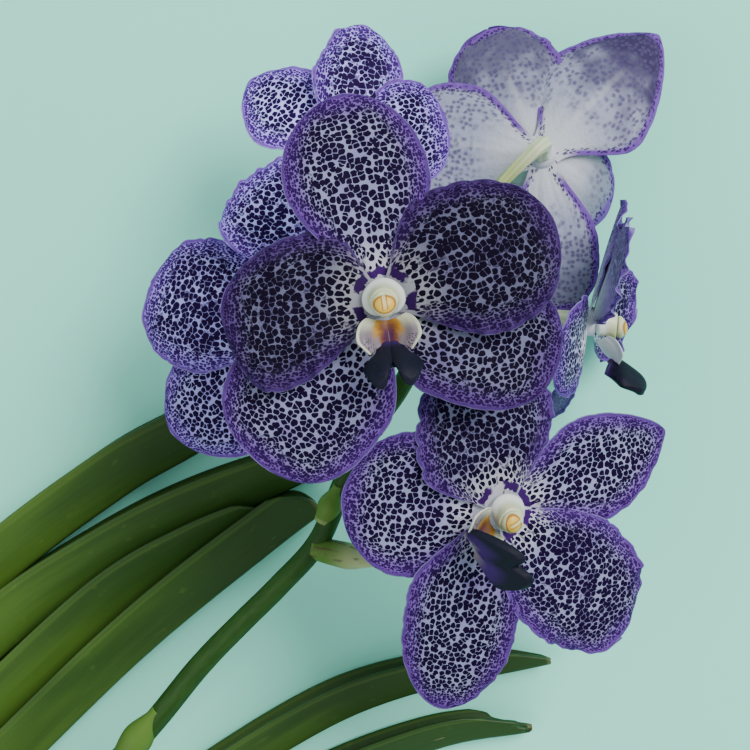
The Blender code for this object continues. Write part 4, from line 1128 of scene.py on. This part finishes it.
def stalk_finish(colours):
    """Dark smooth green. Bracts are lighter, with a pale foot ring on the stalk's own, and those under blooms
    turn whitish towards their ends, with a few stains. The seed tells them apart: 0 for the stalk, 1 and 2
    for its own bracts, and from 11 for those under blooms."""
    made = Finish("green_stalk", 0.45)
    part, _, seed = made.note("place")
    cloud = made.noise(made.stretched(made.whole("pattern"), (1, 1, 0.25)), 0.7, 3.0)
    bract, bloom_bract = made.step(seed, 0.2, 0.8), made.step(seed, 10.0, 10.8)
    colour = made.mix(made.step(cloud, 0.3, 0.7, 0.0, 0.5), colours.stalk, colours.stalk_light)
    colour = made.mix(made.times(bract, 0.75), colour, colours.bract)
    late = made.times(made.step(part, 0.20, 0.75), bloom_bract)
    foot = made.times(made.step(part, 0.12, 0.07), made.minus(bract, bloom_bract))
    colour = made.mix(made.sum("MAXIMUM", late, made.times(foot, 0.3)), colour, colours.bract_lip)
    blotch = made.times(made.step(cloud, 0.54, 0.60), bloom_bract, made.step(part, 0.95, 0.6))
    colour = made.mix(made.times(blotch, 0.55), colour, colours.blotch)
    return made.done(colour, cloud, 0.0001, Specular_IOR_Level=0.2)


def leaf_finish(colours):
    """Leathery green, lighter towards the plant's heart and darker towards the tip as a painted shadow of the
    blooms over the tips, with fine lengthwise lines, a light line inside each margin, a darker keel, a few
    corky scars and a dry edge at the tip."""
    made = Finish("strap_leaf", 0.42)
    pattern = made.whole("pattern")
    part, across, _ = made.note("place")
    lines = made.noise(made.stretched(pattern, (2.6, 0.02, 0)), 1.0, 3.0)
    broad = made.noise(made.stretched(pattern, (0.07, 0.012, 0)), 1.0, 2.0)
    scars = made.noise(made.stretched(pattern, (1.1, 0.10, 0)), 1.0, 2.0)
    smudge = made.noise(made.stretched(pattern, (0.25, 0.12, 0)), 1.0, 4.0)
    spread = made.size(across)
    # Painted shade: darker towards the tips, where the blooms hang over the leaves, and lighter towards the
    # plant's heart.
    away = made.plus(part, made.swing(broad, 0.8))
    colour = made.mix(made.step(away, 0.85, 0.28), colours.leaf, colours.leaf_light)
    colour = made.mix(made.step(lines, 0.35, 0.70, 0.0, 0.22), colour, colours.leaf_dark)
    colour = made.mix(made.step(spread, 0.08, 0.01, 0.0, 0.5), colour, colours.leaf_dark)
    line = made.times(made.step(spread, 0.86, 0.91), made.step(spread, 0.97, 0.91))
    colour = made.mix(made.times(line, 0.16), colour, colours.leaf_line)
    colour = made.mix(made.step(scars, 0.755, 0.79, 0.0, 0.8), colour, colours.scar)
    colour = made.mix(made.step(smudge, 0.62, 0.78, 0.0, 0.20), colour, colours.leaf_line)
    colour = made.mix(made.step(part, 0.992, 1.0, 0.0, 0.35), colour, colours.scar)
    return made.done(colour, lines, 0.00005, Specular_IOR_Level=0.35)


def stem_finish(colours):
    """Green sheaths with fibres along them and a straw-coloured mouth, on a core that is straw-coloured at
    its foot. The seed is 0 for the core and counts the sheaths from 1."""
    made = Finish("sheathed_stem", 0.5)
    part, _, seed = made.note("place")
    fibres = made.noise(made.stretched(made.whole("pattern"), (1.6, 1.6, 0.06)), 1.0, 3.0)
    colour = made.mix(made.step(fibres, 0.4, 0.6, 0.1, 0.5), colours.leaf, colours.leaf_light)
    colour = made.mix(made.step(part, 0.90, 1.0, 0.0, 0.5), colour, colours.scar)
    dry = made.step(made.plus(seed, made.times(part, 0.6)), 0.7, 0.1)
    return made.done(made.mix(dry, colour, colours.scar), fibres, 0.0002)


def root_finish(colours):
    """Silver-grey with green showing through in flecks, and a green growing tip."""
    made = Finish("silver_root", 0.75)
    part, _, _ = made.note("place")
    cloud = made.noise(made.stretched(made.whole("pattern"), (0.8, 0.8, 0.35)), 1.0, 4.0)
    colour = made.mix(made.step(cloud, 0.50, 0.68, 0.0, 0.6), colours.root, colours.leaf_light)
    colour = made.mix(made.step(part, 0.93, 0.97), colour, colours.root_tip)
    return made.done(colour, cloud, 0.0002)


def swatch(name, description, value):
    """A colour that a user may change."""
    given = dict(name=name, description=description, default=value)
    return FloatVectorProperty(subtype="COLOR", size=3, min=0, max=1, **given)


class OrchidSizes(bpy.types.PropertyGroup):
    """The sizes of the finished plant that a user may change"""

    across_spacing: FloatVectorProperty(
        name="Spacing across", size=3, precision=5, default=(0.00215, 0.00105, 1.6),
        description="Metres between spots across a tepal, at its midline and margin, and how late it changes")
    along_spacing: FloatVectorProperty(
        name="Spacing along", size=3, precision=5, default=(0.00280, 0.00135, 1.2),
        description="Metres between spots along a tepal, at its base and tip, and how late it changes")
    frill: FloatProperty(
        name="Frill", default=0.0009, unit="LENGTH", precision=5,
        description="Height of the frills on a petal's margin")


class OrchidColours(bpy.types.PropertyGroup):
    """The colours of the finished plant"""

    ground: swatch("Ground", "Between the spots in the middle of a tepal", (0.33, 0.33, 0.55))
    # Painted shade on the petals' ground.
    petal_painted_shade: swatch("Petal ground", "Mixed into the ground of the two petals", (0.10, 0.085, 0.19))
    # Painted light on the ground of the blooms whose tone is high.
    bright: swatch("Bright ground", "Mixed into the ground of the lighter blooms", (0.31, 0.28, 0.80))
    heart: swatch("Heart", "Round the column", (0.70, 0.70, 0.76))
    lilac: swatch("Lilac", "Between the spots near the margin", (0.195, 0.085, 0.420))
    margin: swatch("Margin", "The plain band along the margin", (0.115, 0.046, 0.275))
    spot: swatch("Spot", "The spots", (0.008, 0.001, 0.026))
    spot_edge: swatch("Outer spot", "The spots near the margin", (0.034, 0.007, 0.100))
    collar: swatch("Collar", "The bars round the column", (0.055, 0.012, 0.135))
    back: swatch("Back", "The back of the tepals", (0.40, 0.41, 0.57))
    back_lilac: swatch("Lilac back", "The back of the side bloom's tepals", (0.44, 0.27, 0.66))
    back_tip: swatch("Back tip", "The back towards the tips", (0.050, 0.036, 0.105))
    back_spot: swatch("Back spot", "The spots as they show on the back", (0.095, 0.070, 0.18))
    cream: swatch("Cream", "The rims of the ears", (0.66, 0.67, 0.48))
    mauve: swatch("Mauve", "Inside the ears", (0.22, 0.18, 0.21))
    amber: swatch("Amber", "Between the ears and the throat", (0.50, 0.26, 0.02))
    throat: swatch("Throat", "Inside the lip's trough", (0.20, 0.07, 0.02))
    throat_deep: swatch("Deep throat", "Along the middle of the trough", (0.075, 0.018, 0.060))
    speck: swatch("Specks", "At the ends of the ears", (0.05, 0.01, 0.07))
    lip: swatch("Lip", "The midlobe", (0.006, 0.006, 0.018))
    lip_violet: swatch("Lip violet", "The foot and flanks of the midlobe", (0.050, 0.014, 0.135))
    column: swatch("Column", "The column's foot", (0.80, 0.82, 0.78))
    cream_green: swatch("Greenish cream", "The column under the cap", (0.72, 0.74, 0.46))
    cap: swatch("Cap", "The anther cap", (0.82, 0.50, 0.07))
    cap_line: swatch("Cap line", "The lines on the cap", (0.45, 0.17, 0.02))
    pedicel: swatch("Pedicel", "The pedicel at its bract", (0.48, 0.54, 0.20))
    pedicel_end: swatch("Pedicel end", "The pedicel behind the bloom", (0.70, 0.73, 0.50))
    stalk: swatch("Stalk", "The flower stalk", (0.018, 0.060, 0.008))
    stalk_light: swatch("Light stalk", "Lighter clouds on the stalk", (0.032, 0.090, 0.014))
    bract: swatch("Bract", "The bracts", (0.125, 0.235, 0.035))
    bract_lip: swatch("Bract lip", "The papery ends of the bracts", (0.50, 0.52, 0.26))
    blotch: swatch("Blotch", "The stains on the bracts", (0.10, 0.03, 0.04))
    # On the leaves, leaf and leaf_light are the two ends of a painted shade, dark under the blooms and light
    # towards the heart; on the stem they are its fibres, and leaf_light is also the roots' flecks.
    leaf: swatch("Leaf", "The leaves", (0.024, 0.066, 0.010))
    leaf_light: swatch("Light leaf", "Lighter parts of the leaves", (0.080, 0.165, 0.020))
    leaf_dark: swatch("Dark leaf", "The leaves' keels and lines", (0.010, 0.032, 0.004))
    leaf_line: swatch("Leaf line", "The light line inside a leaf's margin", (0.17, 0.28, 0.05))
    scar: swatch("Scar", "Corky scars and dry edges", (0.36, 0.28, 0.13))
    root: swatch("Root", "The roots", (0.52, 0.53, 0.46))
    root_tip: swatch("Root tip", "The growing tips of the roots", (0.16, 0.28, 0.05))
    floor: swatch("Floor", "The floor", (0.34, 1.0, 0.80))


class OrchidTepals(bpy.types.Operator):
    """Builds the tepals of every bloom"""

    bl_idname = "orchid.tepals"
    bl_label = "Tepals"

    def execute(self, context):
        sizes = context.scene.orchid_sizes
        finish = petal_finish(context.scene.orchid_colours)
        for number, (name, bloom) in enumerate(BLOOMS.items()):
            patches = [boss(bloom)]
            for order, (numbers, tone) in enumerate(zip(bloom["tepals"], LIGHT_AND_SHADE_TONES[name])):
                seed, through = 1 + number * len(KINDS) + order, THROUGH.get(name, 0.0)
                patches.append(tepal(order, numbers, bloom, seed, tone, through, sizes))
            add_piece(name + "_tepals", patches, finish, "spotted_violet", name + "_perianth")
        return {"FINISHED"}


class OrchidLips(bpy.types.Operator):
    """Builds the lip of every bloom: its trough and its midlobe"""

    bl_idname = "orchid.lips"
    bl_label = "Lips"

    def execute(self, context):
        colours = context.scene.orchid_colours
        pale, dark = trough_finish(colours), midlobe_finish(colours)
        for name, bloom in BLOOMS.items():
            add_piece(name + "_trough", [trough(bloom)], pale, "cream", name + "_lobes")
            add_piece(name + "_midlobe", [midlobe(bloom)], dark, "lip_violet", name + "_lip")
        return {"FINISHED"}


class OrchidColumns(bpy.types.Operator):
    """Builds the column and the anther cap of every bloom"""

    bl_idname = "orchid.columns"
    bl_label = "Columns"

    def execute(self, context):
        colours = context.scene.orchid_colours
        pale, yellow = cream_finish(colours), cap_finish(colours)
        for name, bloom in BLOOMS.items():
            add_piece(name + "_white_column", [column(bloom)], pale, "cream", name + "_column")
            add_piece(name + "_yellow_cap", [cap(bloom)], yellow, "cap_yellow", name + "_cap")
        return {"FINISHED"}


class OrchidStalks(bpy.types.Operator):
    """Builds the flower stalk with its bracts, and the pedicel of every bloom"""

    bl_idname = "orchid.stalks"
    bl_label = "Flower stalk"

    def execute(self, context):
        colours = context.scene.orchid_colours
        add_piece("flower_stalk", spike_patches(), stalk_finish(colours), "stalk_green", "spike")
        ribbed = pedicel_finish(colours)
        for number, (name, bloom) in enumerate(BLOOMS.items()):
            patches = [pedicel(bloom, number)]
            add_piece(name + "_ribbed_pedicel", patches, ribbed, "pedicel_green", name + "_pedicel")
        return {"FINISHED"}


class OrchidLeaves(bpy.types.Operator):
    """Builds the strap leaves"""

    bl_idname = "orchid.leaves"
    bl_label = "Leaves"

    def execute(self, context):
        colours = context.scene.orchid_colours
        finish = leaf_finish(colours)
        for number, (name, numbers) in enumerate(LEAVES.items()):
            add_piece("strap_" + name, [leaf(name, numbers, number + 1)], finish, "leaf_green", name)
        return {"FINISHED"}


class OrchidStem(bpy.types.Operator):
    """Builds the stem with its leaf sheaths, and the roots"""

    bl_idname = "orchid.stem"
    bl_label = "Stem and roots"

    def execute(self, context):
        colours = context.scene.orchid_colours
        add_piece("sheathed_stem", stem_patches(), stem_finish(colours), "leaf_green", "stem")
        grey = root_finish(colours)
        for number, (name, route) in enumerate(ROOTS.items()):
            add_piece("silver_" + name, [root_patch(route, number + 1)], grey, "root_grey", name)
        return {"FINISHED"}


class OrchidStage(bpy.types.Operator):
    """Builds the plain floor, the soft lights and the camera"""

    bl_idname = "orchid.stage"
    bl_label = "Stage"

    def execute(self, context):
        colours = context.scene.orchid_colours
        scene = context.scene
        mesh = bpy.data.meshes.new("floor")
        signs = ((-1, -1), (1, -1), (1, 1), (-1, 1))
        corners = [(x * FLOOR_REACH, y * FLOOR_REACH, FLOOR_LEVEL) for x, y in signs]
        mesh.from_pydata(corners, [], [(0, 1, 2, 3)])
        made = Finish("floor", 0.9)
        mesh.materials.append(made.done(shade(colours.floor)))
        floor = bpy.data.objects.new("floor", mesh)
        scene.collection.objects.link(floor)
        for name, place, size, power in LIGHTS:
            lamp = bpy.data.lights.new(name, "AREA")
            lamp.size = size
            lamp.energy = power
            light = bpy.data.objects.new(name, lamp)
            light.location = place
            light.rotation_euler = (Vector(AIM) - Vector(place)).to_track_quat("-Z", "Y").to_euler()
            scene.collection.objects.link(light)
        world = bpy.data.worlds.new("soft_sky")
        world.use_nodes = True
        sky = world.node_tree.nodes["Background"]
        sky.inputs["Color"].default_value = shade(SKY)
        sky.inputs["Strength"].default_value = SKY_STRENGTH
        scene.world = world
        lens = bpy.data.cameras.new("camera")
        lens.sensor_width = SENSOR_WIDTH
        lens.lens = FOCAL_LENGTH
        lens.clip_start = 0.01
        camera = bpy.data.objects.new("camera", lens)
        camera.location = (MIDDLE[0], MIDDLE[1], CAMERA_HEIGHT)
        scene.collection.objects.link(camera)
        scene.camera = camera
        return {"FINISHED"}


class OrchidPanel(bpy.types.Panel):
    """Lists the plant's sizes and colours and the pieces to build"""

    bl_idname = "VIEW3D_PT_orchid"
    bl_label = "Vanda orchid"
    bl_space_type = "VIEW_3D"
    bl_region_type = "UI"
    bl_category = "Orchid"

    def draw(self, context):
        for operator in OPERATORS:
            self.layout.operator(operator.bl_idname)
        for group in (context.scene.orchid_sizes, context.scene.orchid_colours):
            box = self.layout.box()
            for key in type(group).__annotations__:
                box.prop(group, key)


OPERATORS = (OrchidStage, OrchidTepals, OrchidLips, OrchidColumns, OrchidStalks, OrchidLeaves, OrchidStem)
CLASSES = (OrchidSizes, OrchidColours, *OPERATORS, OrchidPanel)


def register():
    """Adds the classes, and the plant's sizes and colours to the scene."""
    for each in CLASSES:
        bpy.utils.register_class(each)
    bpy.types.Scene.orchid_sizes = PointerProperty(type=OrchidSizes)
    bpy.types.Scene.orchid_colours = PointerProperty(type=OrchidColours)


def unregister():
    """Takes away what register added."""
    del bpy.types.Scene.orchid_colours
    del bpy.types.Scene.orchid_sizes
    for each in reversed(CLASSES):
        bpy.utils.unregister_class(each)


def main():
    """Builds the scene piece by piece."""
    register()
    for operator in OPERATORS:
        group, call = operator.bl_idname.split(".")
        getattr(getattr(bpy.ops, group), call)()


if __name__ == "__main__":
    main()
